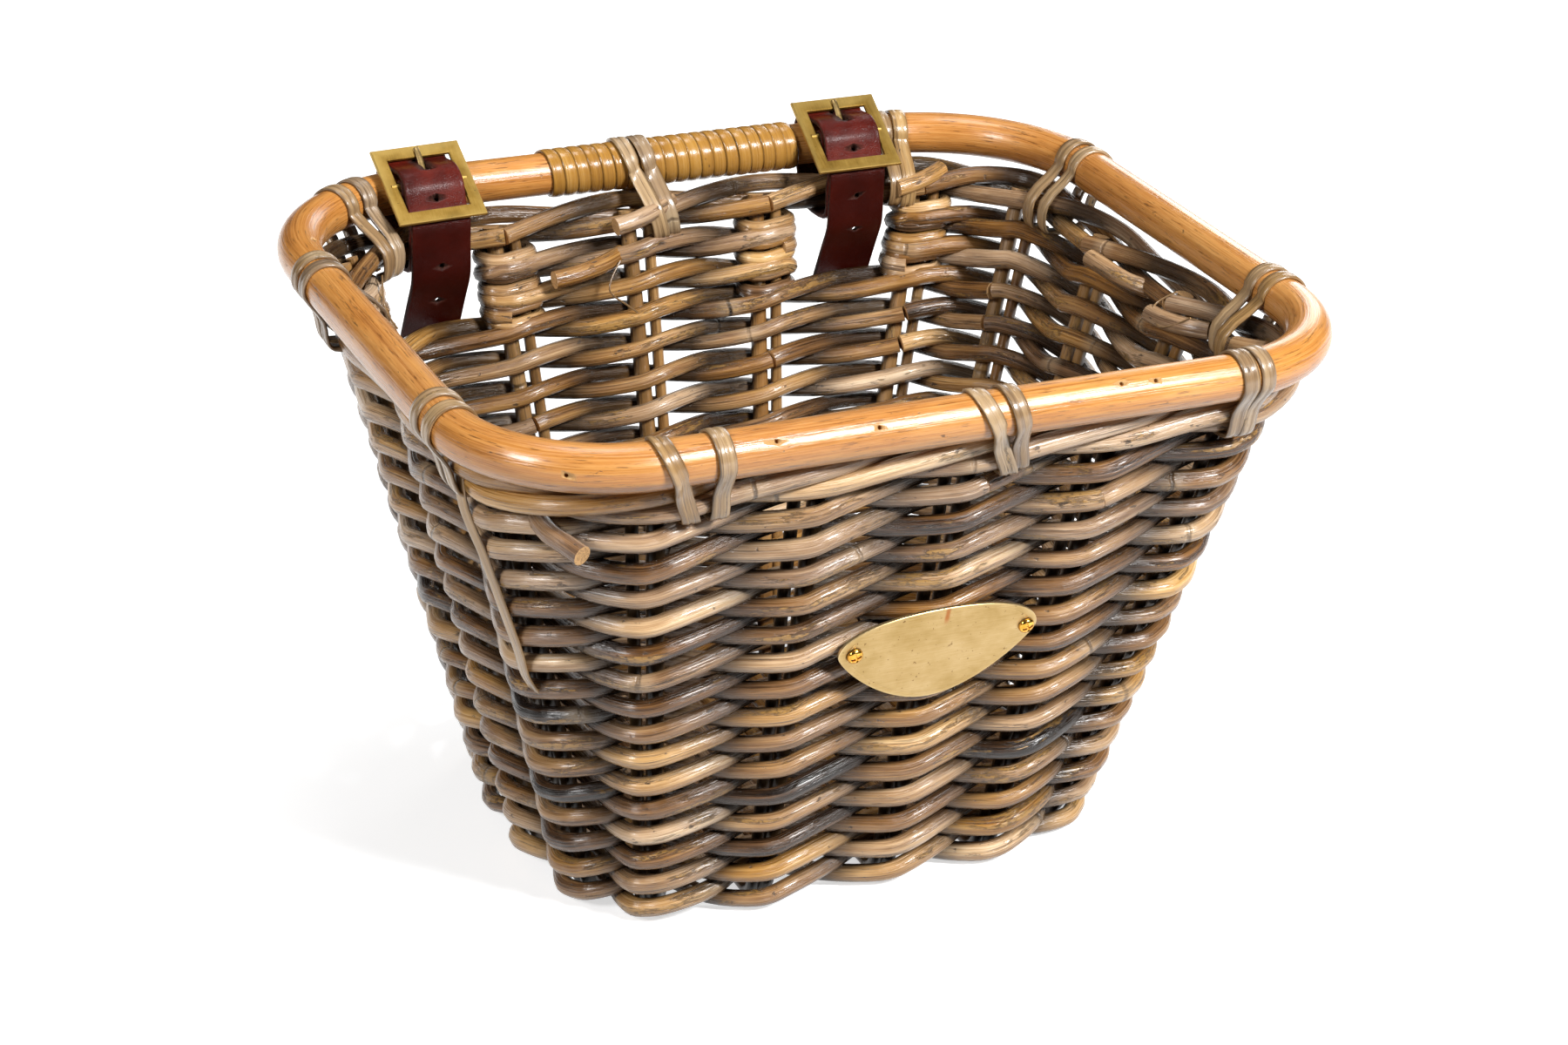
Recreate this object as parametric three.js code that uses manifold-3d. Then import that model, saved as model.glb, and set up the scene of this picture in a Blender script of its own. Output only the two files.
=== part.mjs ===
// Rectangular basket of twined rods on paired stakes, with a bent cane rim tied on by peel lashings,
// a plain plate on the front and two leather straps with square buckles on the back of the rim.
// Millimetres, +Z up. The origin is on the floor under the middle of the basket; the front faces -Y.

import * as THREE from "three";
import { mergeVertices } from "three/addons/utils/BufferGeometryUtils.js";
import Module from "manifold-3d";

const wasm = await Module();
wasm.setup();

// Clearances
const seatGap = 0.3;             // between pieces that touch
const rodGap = 0.45;             // between a woven rod and the canes it passes
const overrun = 2;               // how far a cutting tool runs past the piece it cuts

// Outline of the wall, measured on its outside
const rimHalfWidth = 169;
const rimHalfDepth = 142;
const rimFrontCorner = 58;
const rimBackCorner = 68;
const footCorner = 61;
const wallHeight = 205;
const wallFlare = 50;            // how far every wall leans out between the floor and its top

// Cane rim
const rimDiameter = 17.5;
const rimHeight = 221;
const rimSides = 12;
const scarfSlant = 15;           // half the length of the rim's slanted joint
const scarfGap = 0.5;
const scarfX = 8;

// Stakes, in pairs of one thick and one thin cane that part a little towards the top
const stakeInset = 12.3;         // from the outside of the wall to the line of the stakes
const thickCane = 7.6;
const thinCane = 4.8;
const pairSpacingFoot = 5.1;
const pairSpacingTop = 9;
const thickCaneShare = 1.3;      // how much nearer the thick cane sits to the rods' turning point
const stakeTop = 209.5;
const legLength = 20;            // how far a stake's bent foot runs in under the base
const stakeTopShares = [
  0.0098, 0.0648, 0.1168, 0.1679, 0.2199, 0.2847, 0.3436, 0.3878, 0.4575,
  0.5125, 0.5684, 0.6401, 0.7108, 0.7716, 0.8404, 0.8944, 0.9533,
];
const stakeFootShares = [
  0.0166, 0.083, 0.146, 0.196, 0.246, 0.296, 0.346, 0.394, 0.45,
  0.516, 0.583, 0.655, 0.726, 0.774, 0.832, 0.872, 0.938,
];
const stakes = stakeTopShares.length;

// Weave: two rods that cross between the stakes, one behind and one before each pair
const rodDiameter = 5.6;
const firstRowHeight = 4;
const rowPitch = 12.95;
const fullRows = 13;
const panelRows = 2;
const panelSettle = 0.3;         // each of the last rows is beaten down this much more
const crossingLow = 1.35;        // level of the rod that comes out, above its row
const crossingHigh = 7.8;        // level of the rod that goes in, above its row
const insideLift = 4.2;          // level of a rod behind a stake, above its row
const footLift = 7.7;            // the same in the first row, where it rests on the bent feet
const wrapLow = -0.8;            // levels of the two turns round a stake at the edge of a slot
const wrapHigh = 5.4;
const turnShare = Math.tan(Math.PI / 8);
const rowStartColumn = 4;        // every full row starts and ends on the right-hand wall
const strandLengths = 4;         // each strand is worked from this many lengths of rod
const buttGap = 0.5;
const strandEndShare = 0.4;      // the last end is cut back this far towards its last stake

// Slots for the straps lie between these columns of stakes, above the full rows
const rightSlotColumn = 7;
const leftSlotColumn = 10;

// Border of three rods
const borderDiameter = 6.6;
const borderHeight = 203.8;
const borderLift = 3.75;
const borderCuts = [14, 32, 50];  // a rod ends behind the stakes at these counts

// Peel wound round the middle of the back rim
const windingTurns = 20;
const windingPitch = 5.5;
const windingStrip = 4.9;
const windingThickness = 1.4;
const windingSteps = 12;
const windingX = 8;

// Peel lashings, each of two turns: place is counted in columns of stakes
const lashingStrip = 5.8;
const lashingThickness = 1.2;
const lashingPitch = 8;
const lashingTurns = 2;
const lashingTailShare = 0.18;   // how far an end runs on under the border
const lashings = [
  { name: "front_middle", place: 0.268 },
  { name: "front_right", place: 1.725 },
  { name: "right_front", place: 3.275 },
  { name: "right_back", place: 5.671 },
  { name: "back_right", place: 7.2 },
  { name: "back_middle", place: 8.698, overWinding: true },
  { name: "back_left", place: 10.78 },
  { name: "left_back", place: 11.78 },
  { name: "left_front", place: 13.8 },
  { name: "front_left", place: 15.245 },
];

// Base: a mat of packed rods on three flat sticks
const stickHeight = 8.2;
const stickWidth = 13;
const stickSpacing = 34;
const matThickness = 6;
const matRodPitch = 7;
const matRidge = 1.1;
const matEdgeGap = 0.8;
const stickEdgeShare = 0.35;

// Leather straps
const strapWidth = 25.4;
const strapThickness = 2.2;
const foldThickness = 1.2;
const strapHole = 3.2;
const strapRightX = 82.5;
const strapLeftX = -103;
const strapLeftTurn = 3.5;       // degrees, because the rim starts to curve there
const strapLeftInset = 0.4;
const strapLayerGap = 0.5;       // between the layers, and to the border and the weave
const strapLoopGap = 1.2;        // slack of the loop round the rim
const strapTail = 14;            // how far the free end hangs below the sill of its slot
const strapSwingShare = 0.82;    // the border's rods swing in this much at the straps
const strapCornerShare = 1.3;
const strapHoleDrops = {         // holes of the hanging tails, below the rim's centre line
  right: [15.8, 31],
  left: [23.4, 40],
};
const archHole = 2;              // the place of the arch below, where one more hole shows
const archShares = [             // the tail through the buckle: out from the centre bar, and height
  [-1, 0], [-0.78, 0.03], [-0.54, 0.44], [-0.27, 0.87], [0, 1],
  [0.27, 0.87], [0.54, 0.44], [0.78, 0.03], [1, 0],
];
const rimLoopShares = [[0.31, 1.1], [0.17, 1.06], [0, 1.03], [-0.14, 1.03]];
const underTailShares = [1, 0.62];
const hookStartShares = [2.2, 0.6];
const hookShares = [0.78, 0.5, 0.25, 0, -0.25, -0.55];

// Square buckles
const buckleBar = 5.5;
const buckleSideGap = 0.6;
const buckleThickness = 1.8;
const buckleRockGap = 0.9;       // to the strap under each bar
const buckleBevel = 0.35;
const buckleInset = 13.7;        // middle of the buckle, in from the rim's centre line
const buckleRise = 7.2;          // and above it
const buckleTilt = 33;
const centreBar = 2.8;
const notchWidth = 2.8;
const notchDepth = 0.4;

// Prong
const prongWidth = 2.2;
const prongThickness = 1.4;
const prongEye = 4.2;
const prongClearance = 0.1;
const prongReach = 17.2;
const prongTipHeight = 1.62;
const prongSlotWidth = 3.2;
const prongSlotShares = [[0.15, -0.08], [0.78, -0.04], [0.78, 0.3], [0.36, 0.2], [0.15, 0.1]];

// Plate and its screws
const plateX = 7.5;
const plateHeight = 123.5;
const plateHalfLength = 40.5;
const plateRise = 15;
const plateDrop = 27;
const plateUpperTip = 9;         // pull of the curves at the two ends, above and below
const plateLowerTip = 4.2;
const plateThickness = 1.2;
const plateBackGap = 0.3;
const plateUpperShare = 0.62;
const plateLowerShare = 0.5;
const screwSpacing = 70.2;
const screwMiddle = 1;           // the screws sit this far right of the plate's middle
const screwHead = 6.4;
const screwHeadHeight = 2;
const screwShank = 3;
const screwLength = 5;
const screwSlot = 0.8;
const screwSlotDepth = 0.7;
const screwSlotShare = 0.7;
const screwHoleGap = 0.3;

const up = new THREE.Vector3(0, 0, 1);
const down = new THREE.Vector3(0, 0, -1);
const acrossX = new THREE.Vector3(1, 0, 0);
const radians = THREE.MathUtils.degToRad;

const materials = {
  rod: { color: 0x8a7763, roughness: 0.62 },
  stake: { color: 0xb07a42, roughness: 0.5 },
  rim: { color: 0xcf8f45, roughness: 0.38 },
  peel: { color: 0xd6b071, roughness: 0.45 },
  lashing: { color: 0xa08a6c, roughness: 0.5 },
  leather: { color: 0x3d1713, roughness: 0.5 },
  brass: { color: 0xa5853f, roughness: 0.4, metalness: 0.9 },
};

const basket = new THREE.Group();

function addPiece(name, geometry, material, parent = basket) {
  const piece = new THREE.Mesh(geometry, new THREE.MeshStandardMaterial(materials[material]));
  piece.name = name;
  parent.add(piece);
  return piece;
}

// Solids, joined and cut

function toSolid(geometry) {
  const bare = geometry.index ? geometry.clone() : geometry;
  bare.deleteAttribute("normal");
  bare.deleteAttribute("uv");
  const merged = mergeVertices(bare);
  return new wasm.Manifold(new wasm.Mesh({
    numProp: 3,
    vertProperties: new Float32Array(merged.attributes.position.array),
    triVerts: new Uint32Array(merged.index.array),
  }));
}

function toGeometry(solid) {
  const mesh = solid.getMesh();
  const geometry = new THREE.BufferGeometry();
  geometry.setAttribute("position", new THREE.BufferAttribute(mesh.vertProperties, 3));
  geometry.setIndex(new THREE.BufferAttribute(mesh.triVerts, 1));
  geometry.computeVertexNormals();
  return geometry;
}

// Sections are lists of [side, rise] places round a path

function roundSection(diameter, sides, turn = 0) {
  return Array.from({ length: sides }, (_, corner) => {
    const angle = (2 * Math.PI * (corner + turn)) / sides;
    return [(diameter / 2) * Math.cos(angle), (diameter / 2) * Math.sin(angle)];
  });
}

function flatSection(side, rise) {
  return [[side / 2, -rise / 2], [side / 2, rise / 2], [-side / 2, rise / 2], [-side / 2, -rise / 2]];
}

// A closed body along a path, mitred at each bend. The section and the direction that its rise
// follows can change from point to point.
function sweep(path, section, { closed = false, rise = () => up, slant = () => 0 } = {}) {
  const count = path.length;
  const sectionAt = typeof section === "function" ? section : () => section;
  const corners = sectionAt(0).length;
  const places = [];
  path.forEach((point, index) => {
    const before = path[(index + count - 1) % count];
    const after = path[(index + 1) % count];
    const arriving = point.clone().sub(before).normalize();
    const leaving = after.clone().sub(point).normalize();
    if (!closed && index === 0) {
      arriving.copy(leaving);
    }
    if (!closed && index === count - 1) {
      leaving.copy(arriving);
    }
    const along = arriving.clone().add(leaving).normalize();
    const side = along.clone().cross(rise(point, index)).normalize();
    const top = side.clone().cross(along);
    const bend = leaving.clone().sub(arriving).normalize();
    const stretch = 1 / along.dot(arriving) - 1;
    sectionAt(index).forEach(([sideways, upwards]) => {
      const offset = side.clone().multiplyScalar(sideways).addScaledVector(top, upwards);
      offset.addScaledVector(bend, offset.dot(bend) * stretch);
      offset.addScaledVector(along, slant(index) * upwards);
      places.push(...point.clone().add(offset).toArray());
    });
  });
  const faces = [];
  const rings = closed ? count : count - 1;
  for (let ring = 0; ring < rings; ring += 1) {
    const here = ring * corners;
    const next = ((ring + 1) % count) * corners;
    for (let corner = 0; corner < corners; corner += 1) {
      const beside = (corner + 1) % corners;
      faces.push(here + corner, next + beside, here + beside);
      faces.push(here + corner, next + corner, next + beside);
    }
  }
  if (!closed) {
    const last = (count - 1) * corners;
    for (let corner = 1; corner < corners - 1; corner += 1) {
      faces.push(0, corner, corner + 1);
      faces.push(last, last + corner + 1, last + corner);
    }
  }
  const geometry = new THREE.BufferGeometry();
  geometry.setAttribute("position", new THREE.Float32BufferAttribute(places, 3));
  geometry.setIndex(faces);
  geometry.computeVertexNormals();
  return geometry;
}

// Plan of the wall: a rounded rectangle at any height, drawn in by an inset

function planOutline(height, inset) {
  const climb = height / wallHeight;
  const lean = wallFlare * (1 - climb);
  return {
    halfWidth: rimHalfWidth - lean - inset,
    halfDepth: rimHalfDepth - lean - inset,
    front: THREE.MathUtils.lerp(footCorner, rimFrontCorner, climb) - inset,
    back: THREE.MathUtils.lerp(footCorner, rimBackCorner, climb) - inset,
  };
}

// A share of the way round the outline, anticlockwise from the middle of the front
function planPoint({ halfWidth, halfDepth, front, back }, share) {
  const quarter = Math.PI / 2;
  const frontRun = halfWidth - front;
  const backRun = halfWidth - back;
  const sideRun = 2 * halfDepth - front - back;
  const lengths = [
    frontRun, front * quarter, sideRun, back * quarter, 2 * backRun, back * quarter, sideRun,
    front * quarter, frontRun,
  ];
  const perimeter = lengths.reduce((sum, length) => sum + length, 0);
  let rest = (share - Math.floor(share)) * perimeter;
  let part = 0;
  while (rest > lengths[part] && part < lengths.length - 1) {
    rest -= lengths[part];
    part += 1;
  }
  const corner = (x, y, radius, start) => {
    const angle = start + rest / radius;
    const out = new THREE.Vector2(Math.cos(angle), Math.sin(angle));
    return { x: x + radius * out.x, y: y + radius * out.y, out };
  };
  const run = (x, y, outX, outY) => {
    return { x: x - outY * rest, y: y + outX * rest, out: new THREE.Vector2(outX, outY) };
  };
  return [
    () => run(0, -halfDepth, 0, -1),
    () => corner(frontRun, front - halfDepth, front, -quarter),
    () => run(halfWidth, front - halfDepth, 1, 0),
    () => corner(backRun, halfDepth - back, back, 0),
    () => run(backRun, halfDepth, 0, 1),
    () => corner(-backRun, halfDepth - back, back, quarter),
    () => run(-halfWidth, halfDepth - back, -1, 0),
    () => corner(-frontRun, front - halfDepth, front, 2 * quarter),
    () => run(-frontRun, -halfDepth, 0, -1),
  ][part]();
}

function shareAt(shares, place) {
  const column = Math.floor(place);
  const turns = (index) => Math.floor(index / stakes) + shares[((index % stakes) + stakes) % stakes];
  return THREE.MathUtils.lerp(turns(column), turns(column + 1), place - column);
}

// The line of the stakes at any place, counted in columns, and height
function wallPoint(place, height) {
  const top = planPoint(planOutline(wallHeight, stakeInset), shareAt(stakeTopShares, place));
  const foot = planPoint(planOutline(0, stakeInset), shareAt(stakeFootShares, place));
  const climb = height / wallHeight;
  const out = foot.out.clone().lerp(top.out, climb).normalize();
  return {
    middle: new THREE.Vector3(
      THREE.MathUtils.lerp(foot.x, top.x, climb),
      THREE.MathUtils.lerp(foot.y, top.y, climb),
      height,
    ),
    out: new THREE.Vector3(out.x, out.y, 0),
    along: new THREE.Vector3(-out.y, out.x, 0),
  };
}

function fromWall({ middle, out, along }, outwards, sideways, height) {
  const point = middle.clone().addScaledVector(out, outwards).addScaledVector(along, sideways);
  return point.setZ(height);
}

// Places of a pair's two canes along the wall. The thick one is nearer to the rods' turning point.
function caneShifts(height) {
  const spacing = THREE.MathUtils.lerp(pairSpacingFoot, pairSpacingTop, height / wallHeight);
  const thick = (spacing - (thickCane - thinCane) * thickCaneShare) / 2;
  return { thick, thin: thick - spacing };
}

// How far from the line of the stakes a rod turns, to clear both canes on its way past
function passOffset(column, height, face, diameter) {
  const here = wallPoint(column, height);
  const shifts = caneShifts(height);
  const canes = [[shifts.thick, thickCane], [shifts.thin, thinCane]];
  const crossings = [wallPoint(column - 0.5, height), wallPoint(column + 0.5, height)];
  let offset = thickCane / 2 + diameter / 2 + rodGap;
  for (let round = 0; round < 6; round += 1) {
    const turn = fromWall(here, face * offset, 0, height);
    let shortfall = 0;
    for (const crossing of crossings) {
      const run = crossing.middle.clone().sub(turn).normalize();
      for (const [shift, cane] of canes) {
        const reach = fromWall(here, 0, shift, height).sub(turn);
        const distance = reach.cross(run).length();
        shortfall = Math.max(shortfall, (cane + diameter) / 2 + rodGap - distance);
      }
    }
    offset += shortfall;
  }
  return offset;
}

const rowHeight = (row) => firstRowHeight + rowPitch * row;

// Stake pairs

function stakePair(column) {
  const canes = ["thick", "thin"].map((kind) => {
    const cane = kind === "thick" ? thickCane : thinCane;
    const kneeHeight = cane / 2 + seatGap / 2;
    const place = (height) => fromWall(wallPoint(column, height), 0, caneShifts(height)[kind], height);
    const knee = place(kneeHeight);
    const toe = knee.clone().addScaledVector(wallPoint(column, 0).out, -legLength);
    const outwards = wallPoint(column, 0).out;
    const path = [toe, knee, place(stakeTop)];
    return toSolid(sweep(path, roundSection(cane, 8, 0.5), {
      rise: (point, index) => (index === 0 ? down : outwards),
    }));
  });
  return toGeometry(canes[0].add(canes[1]));
}

// Weave

const rodSection = roundSection(rodDiameter, 4);

function passPoint(pass, height, outside, level) {
  const face = outside ? 1 : -1;
  const column = ((pass % stakes) + stakes) % stakes;
  const offset = passOffset(column, height, face, rodDiameter);
  return fromWall(wallPoint(column, height + level), face * offset, 0, height + level);
}

function crossingPoint(pass, height, goingIn) {
  const column = ((pass % stakes) + stakes) % stakes;
  return wallPoint(column + 0.5, height + (goingIn ? crossingHigh : crossingLow)).middle;
}

// One strand of the full rows: it passes before every second pair, lap after lap
function strandPoint(strand, half) {
  const pass = Math.floor(half / 2);
  const rowOf = (count) => Math.min(Math.max(Math.floor(count / stakes), 0), fullRows - 1);
  const outside = (pass + strand) % 2 === 0;
  if (half % 2 === 0) {
    const lift = rowOf(pass) === 0 ? footLift : insideLift;
    const level = outside ? 0 : lift;
    return passPoint(pass + rowStartColumn, rowHeight(rowOf(pass)), outside, level);
  }
  const height = (rowHeight(rowOf(pass)) + rowHeight(rowOf(pass + 1))) / 2;
  return crossingPoint(pass + rowStartColumn, height, outside);
}

function addStrand(strand, name) {
  const passes = fullRows * stakes;
  const share = passes / strandLengths;
  const cutAt = (length) => {
    const pass = Math.round(length * share);
    return 2 * (pass + (((pass + strand) % 2 === 0) ? 1 : 0));
  };
  for (let length = 0; length < strandLengths; length += 1) {
    const first = length === 0 ? 0 : cutAt(length);
    const last = length === strandLengths - 1 ? 2 * (passes - 1) + 1 : cutAt(length + 1);
    const path = [];
    for (let half = first; half <= last; half += 1) {
      path.push(strandPoint(strand, half));
    }
    if (length < strandLengths - 1) {
      const [end, before] = [path[path.length - 1], path[path.length - 2]];
      const stop = before.clone().sub(end);
      end.addScaledVector(stop, (rodDiameter / 2 + buttGap) / stop.length());
    }
    if (length > 0) {
      const [start, next] = [path[0], path[1]];
      const stop = next.clone().sub(start);
      start.addScaledVector(stop, buttGap / stop.length());
    }
    if (length === strandLengths - 1) {
      const [end, before] = [path[path.length - 1], path[path.length - 2]];
      end.lerp(before, strandEndShare);
    }
    addPiece(`weaver_${name}_${length + 1}`, sweep(path, rodSection), "rod");
  }
}

// The two rows beside the slots: a rod folded round the stakes at one edge, worked as two strands
// to the other edge and turned round the stakes there

function edgeTurn(column, height, direction, fromOutside, levelFrom, levelTo) {
  const shifts = caneShifts(height);
  const thickEdge = direction > 0;
  const cane = thickEdge ? thickCane : thinCane;
  const shift = thickEdge ? shifts.thick : shifts.thin;
  const reach = (cane + rodDiameter) / 2 + rodGap;
  const face = fromOutside ? 1 : -1;
  const sideways = [turnShare, 1, 1, turnShare];
  const outwards = [1, turnShare, -turnShare, -1];
  return sideways.map((sideShare, step) => {
    const level = height + THREE.MathUtils.lerp(levelFrom, levelTo, step / (sideways.length - 1));
    return fromWall(
      wallPoint(column, level),
      face * outwards[step] * reach,
      shift + direction * sideShare * reach,
      level,
    );
  });
}

function panelRow(name, row, firstPass, lastPass, foldAtFirst) {
  const height = rowHeight(row);
  const settle = panelSettle * (row - fullRows + 1);
  const columnOf = (pass) => pass % stakes;
  const strands = [0, 1].map((strand) => {
    const points = [];
    for (let pass = firstPass; pass <= lastPass; pass += 1) {
      const outside = (pass - firstPass + strand) % 2 === 0;
      const edge = pass === firstPass || pass === lastPass;
      const edgeLevel = outside ? wrapLow : wrapHigh;
      const level = outside ? 0 : insideLift;
      points.push(passPoint(pass, height, outside, edge ? edgeLevel : level));
      if (pass < lastPass) {
        points.push(crossingPoint(pass, height - settle, outside));
      }
    }
    return points;
  });
  const outsideAt = (pass, strand) => (pass - firstPass + strand) % 2 === 0;
  const looseTurn = (pass, direction, strand) => {
    const outside = outsideAt(pass, strand);
    const level = outside ? wrapLow : wrapHigh;
    return edgeTurn(columnOf(pass), height, direction, outside, level, level);
  };
  const fold = (pass, direction, strand) => {
    const outside = outsideAt(pass, strand);
    const levels = outside ? [wrapLow, wrapHigh] : [wrapHigh, wrapLow];
    return edgeTurn(columnOf(pass), height, direction, outside, ...levels);
  };
  let path;
  if (foldAtFirst) {
    const worked = strands.map((points, strand) => [...points, ...looseTurn(lastPass, 1, strand)]);
    path = [...worked[0].reverse(), ...fold(firstPass, -1, 0), ...worked[1]];
  } else {
    const worked = strands.map((points, strand) => {
      return [...looseTurn(firstPass, -1, strand).reverse(), ...points];
    });
    path = [...worked[0], ...fold(lastPass, 1, 0), ...worked[1].reverse()];
  }
  addPiece(name, sweep(path, rodSection), "rod");
}

// Border

const borderSection = roundSection(borderDiameter, 4);

function borderPoint(half) {
  const pass = Math.floor(half / 2);
  const column = pass % stakes;
  const phase = pass % 3;
  const reach = (face) => passOffset(column, borderHeight, face, borderDiameter);
  if (half % 2 === 0) {
    const level = [-borderLift, borderLift, 0][phase];
    const offset = phase === 2 ? -reach(-1) : reach(1);
    return fromWall(wallPoint(column, borderHeight + level), offset, 0, borderHeight + level);
  }
  const [offset, level] = [[reach(1), 0], [0, borderLift], [0, -borderLift]][phase];
  return fromWall(wallPoint(column + 0.5, borderHeight + level), offset, 0, borderHeight + level);
}

function addBorder() {
  borderCuts.forEach((first, index) => {
    const last = index < 2 ? borderCuts[index + 1] : borderCuts[0] + 3 * stakes;
    const path = [];
    for (let half = 2 * first; half <= 2 * last; half += 1) {
      path.push(borderPoint(half));
    }
    const end = path[path.length - 1];
    const stop = path[path.length - 2].clone().sub(end);
    end.addScaledVector(stop, (borderDiameter / 2 + buttGap) / stop.length());
    const start = path[0];
    const go = path[1].clone().sub(start);
    start.addScaledVector(go, buttGap / go.length());
    addPiece(`border_rod_${index + 1}`, sweep(path, borderSection), "rod");
  });
}

// Rim: one cane bent round to a slanted joint at the back

function addRim() {
  const { halfWidth, halfDepth, front, back } = planOutline(wallHeight, 0);
  const quarter = Math.PI / 2;
  const plan = new THREE.Path();
  plan.moveTo(scarfX, halfDepth);
  plan.lineTo(back - halfWidth, halfDepth);
  plan.absarc(back - halfWidth, halfDepth - back, back, quarter, 2 * quarter);
  plan.absarc(front - halfWidth, front - halfDepth, front, 2 * quarter, 3 * quarter);
  plan.absarc(halfWidth - front, front - halfDepth, front, 3 * quarter, 4 * quarter);
  plan.absarc(halfWidth - back, halfDepth - back, back, 0, quarter);
  plan.lineTo(scarfX + scarfGap, halfDepth);
  const path = plan.getPoints(3).map(({ x, y }) => new THREE.Vector3(x, y, rimHeight));
  const slant = (index) => (index === 0 || index === path.length - 1 ? scarfSlant / (rimDiameter / 2) : 0);
  addPiece("cane_rim", sweep(path, roundSection(rimDiameter, rimSides), { slant }), "rim");
}

// The smallest space between the turns of a flat strip, measured on the points of its middle line
function reportLeastGap(name, path, strip, pointsPerTurn) {
  let least = Infinity;
  for (let first = 0; first < path.length; first += 1) {
    for (let second = first + Math.ceil(pointsPerTurn / 2); second < path.length; second += 1) {
      least = Math.min(least, path[first].distanceTo(path[second]) - strip);
    }
  }
  console.log(`${name}: least gap between turns ${least.toFixed(2)} mm`);
}

function addWinding() {
  const radius = rimDiameter / 2 + seatGap + windingThickness / 2;
  const steps = windingTurns * windingSteps;
  const path = [];
  const outwards = [];
  for (let step = 0; step <= steps; step += 1) {
    const angle = (2 * Math.PI * step) / windingSteps;
    const out = new THREE.Vector3(0, Math.cos(angle), Math.sin(angle));
    const x = windingX + (step / steps - 0.5) * windingTurns * windingPitch;
    path.push(new THREE.Vector3(x, rimHalfDepth, rimHeight).addScaledVector(out, radius));
    outwards.push(out);
  }
  reportLeastGap("rim_winding", path, windingStrip, windingSteps);
  const section = flatSection(windingStrip, windingThickness);
  addPiece("rim_winding", sweep(path, section, { rise: (point, index) => outwards[index] }), "peel");
}

// How far the border reaches inwards, outwards and down at a place of the wall
function borderReach(frame, halfStrip) {
  const reach = { inner: 0, outer: 0, bottom: borderHeight };
  const parts = 8;
  for (let half = 0; half < 2 * 3 * stakes; half += 1) {
    const [start, end] = [borderPoint(half), borderPoint(half + 1)];
    for (let part = 0; part < parts; part += 1) {
      const point = start.clone().lerp(end, part / parts);
      const offset = point.clone().sub(frame.middle);
      if (offset.length() < wallFlare && Math.abs(offset.dot(frame.along)) <= halfStrip) {
        reach.inner = Math.min(reach.inner, offset.dot(frame.out));
        reach.outer = Math.max(reach.outer, offset.dot(frame.out));
        reach.bottom = Math.min(reach.bottom, point.z);
      }
    }
  }
  return reach;
}

// A lashing goes over the rim and under the border, twice
function addLashing({ name, place, overWinding = false }) {
  const standOff = seatGap + lashingThickness / 2;
  const cover = overWinding ? windingThickness + seatGap : 0;
  const rimReach = (rimDiameter / 2 + cover + standOff) / Math.cos(Math.PI / rimSides);
  const toBorder = borderDiameter / 2 + standOff;
  const before = Math.floor(place);
  const interval = wallPoint(before, wallHeight).middle.distanceTo(wallPoint(before + 1, wallHeight).middle);
  const path = [];
  const rises = [];
  for (let turn = 0; turn < lashingTurns; turn += 1) {
    const shift = ((turn - (lashingTurns - 1) / 2) * lashingPitch) / interval;
    const frame = wallPoint(place + shift, wallHeight);
    const reach = borderReach(frame, (lashingPitch + lashingStrip) / 2);
    const inner = reach.inner - toBorder - seatGap;
    const outer = reach.outer + toBorder;
    const bottom = reach.bottom - toBorder;
    const heart = fromWall(frame, (inner + outer) / 2, 0, (bottom + rimHeight) / 2);
    const tail = (inner - outer) * lashingTailShare;
    const places = [[outer, bottom]];
    for (let step = -1; step <= 5; step += 1) {
      const angle = (2 * Math.PI * step) / rimSides;
      places.push([stakeInset + rimReach * Math.cos(angle), rimHeight + rimReach * Math.sin(angle)]);
    }
    places.push([inner, borderHeight + toBorder], [inner, bottom]);
    if (turn === 0) {
      places.unshift([outer + tail, bottom]);
    }
    if (turn === lashingTurns - 1) {
      places.push([inner - tail, bottom]);
    }
    places.forEach(([outwards, height]) => {
      const point = fromWall(frame, outwards, 0, height);
      const rise = point.clone().sub(heart);
      path.push(point);
      rises.push(rise.addScaledVector(frame.along, -rise.dot(frame.along)));
    });
  }
  reportLeastGap(`lashing_${name}`, path, lashingStrip, path.length / lashingTurns);
  const section = flatSection(lashingStrip, lashingThickness);
  addPiece(`lashing_${name}`, sweep(path, section, { rise: (point, index) => rises[index] }), "lashing");
}

// Base

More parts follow.
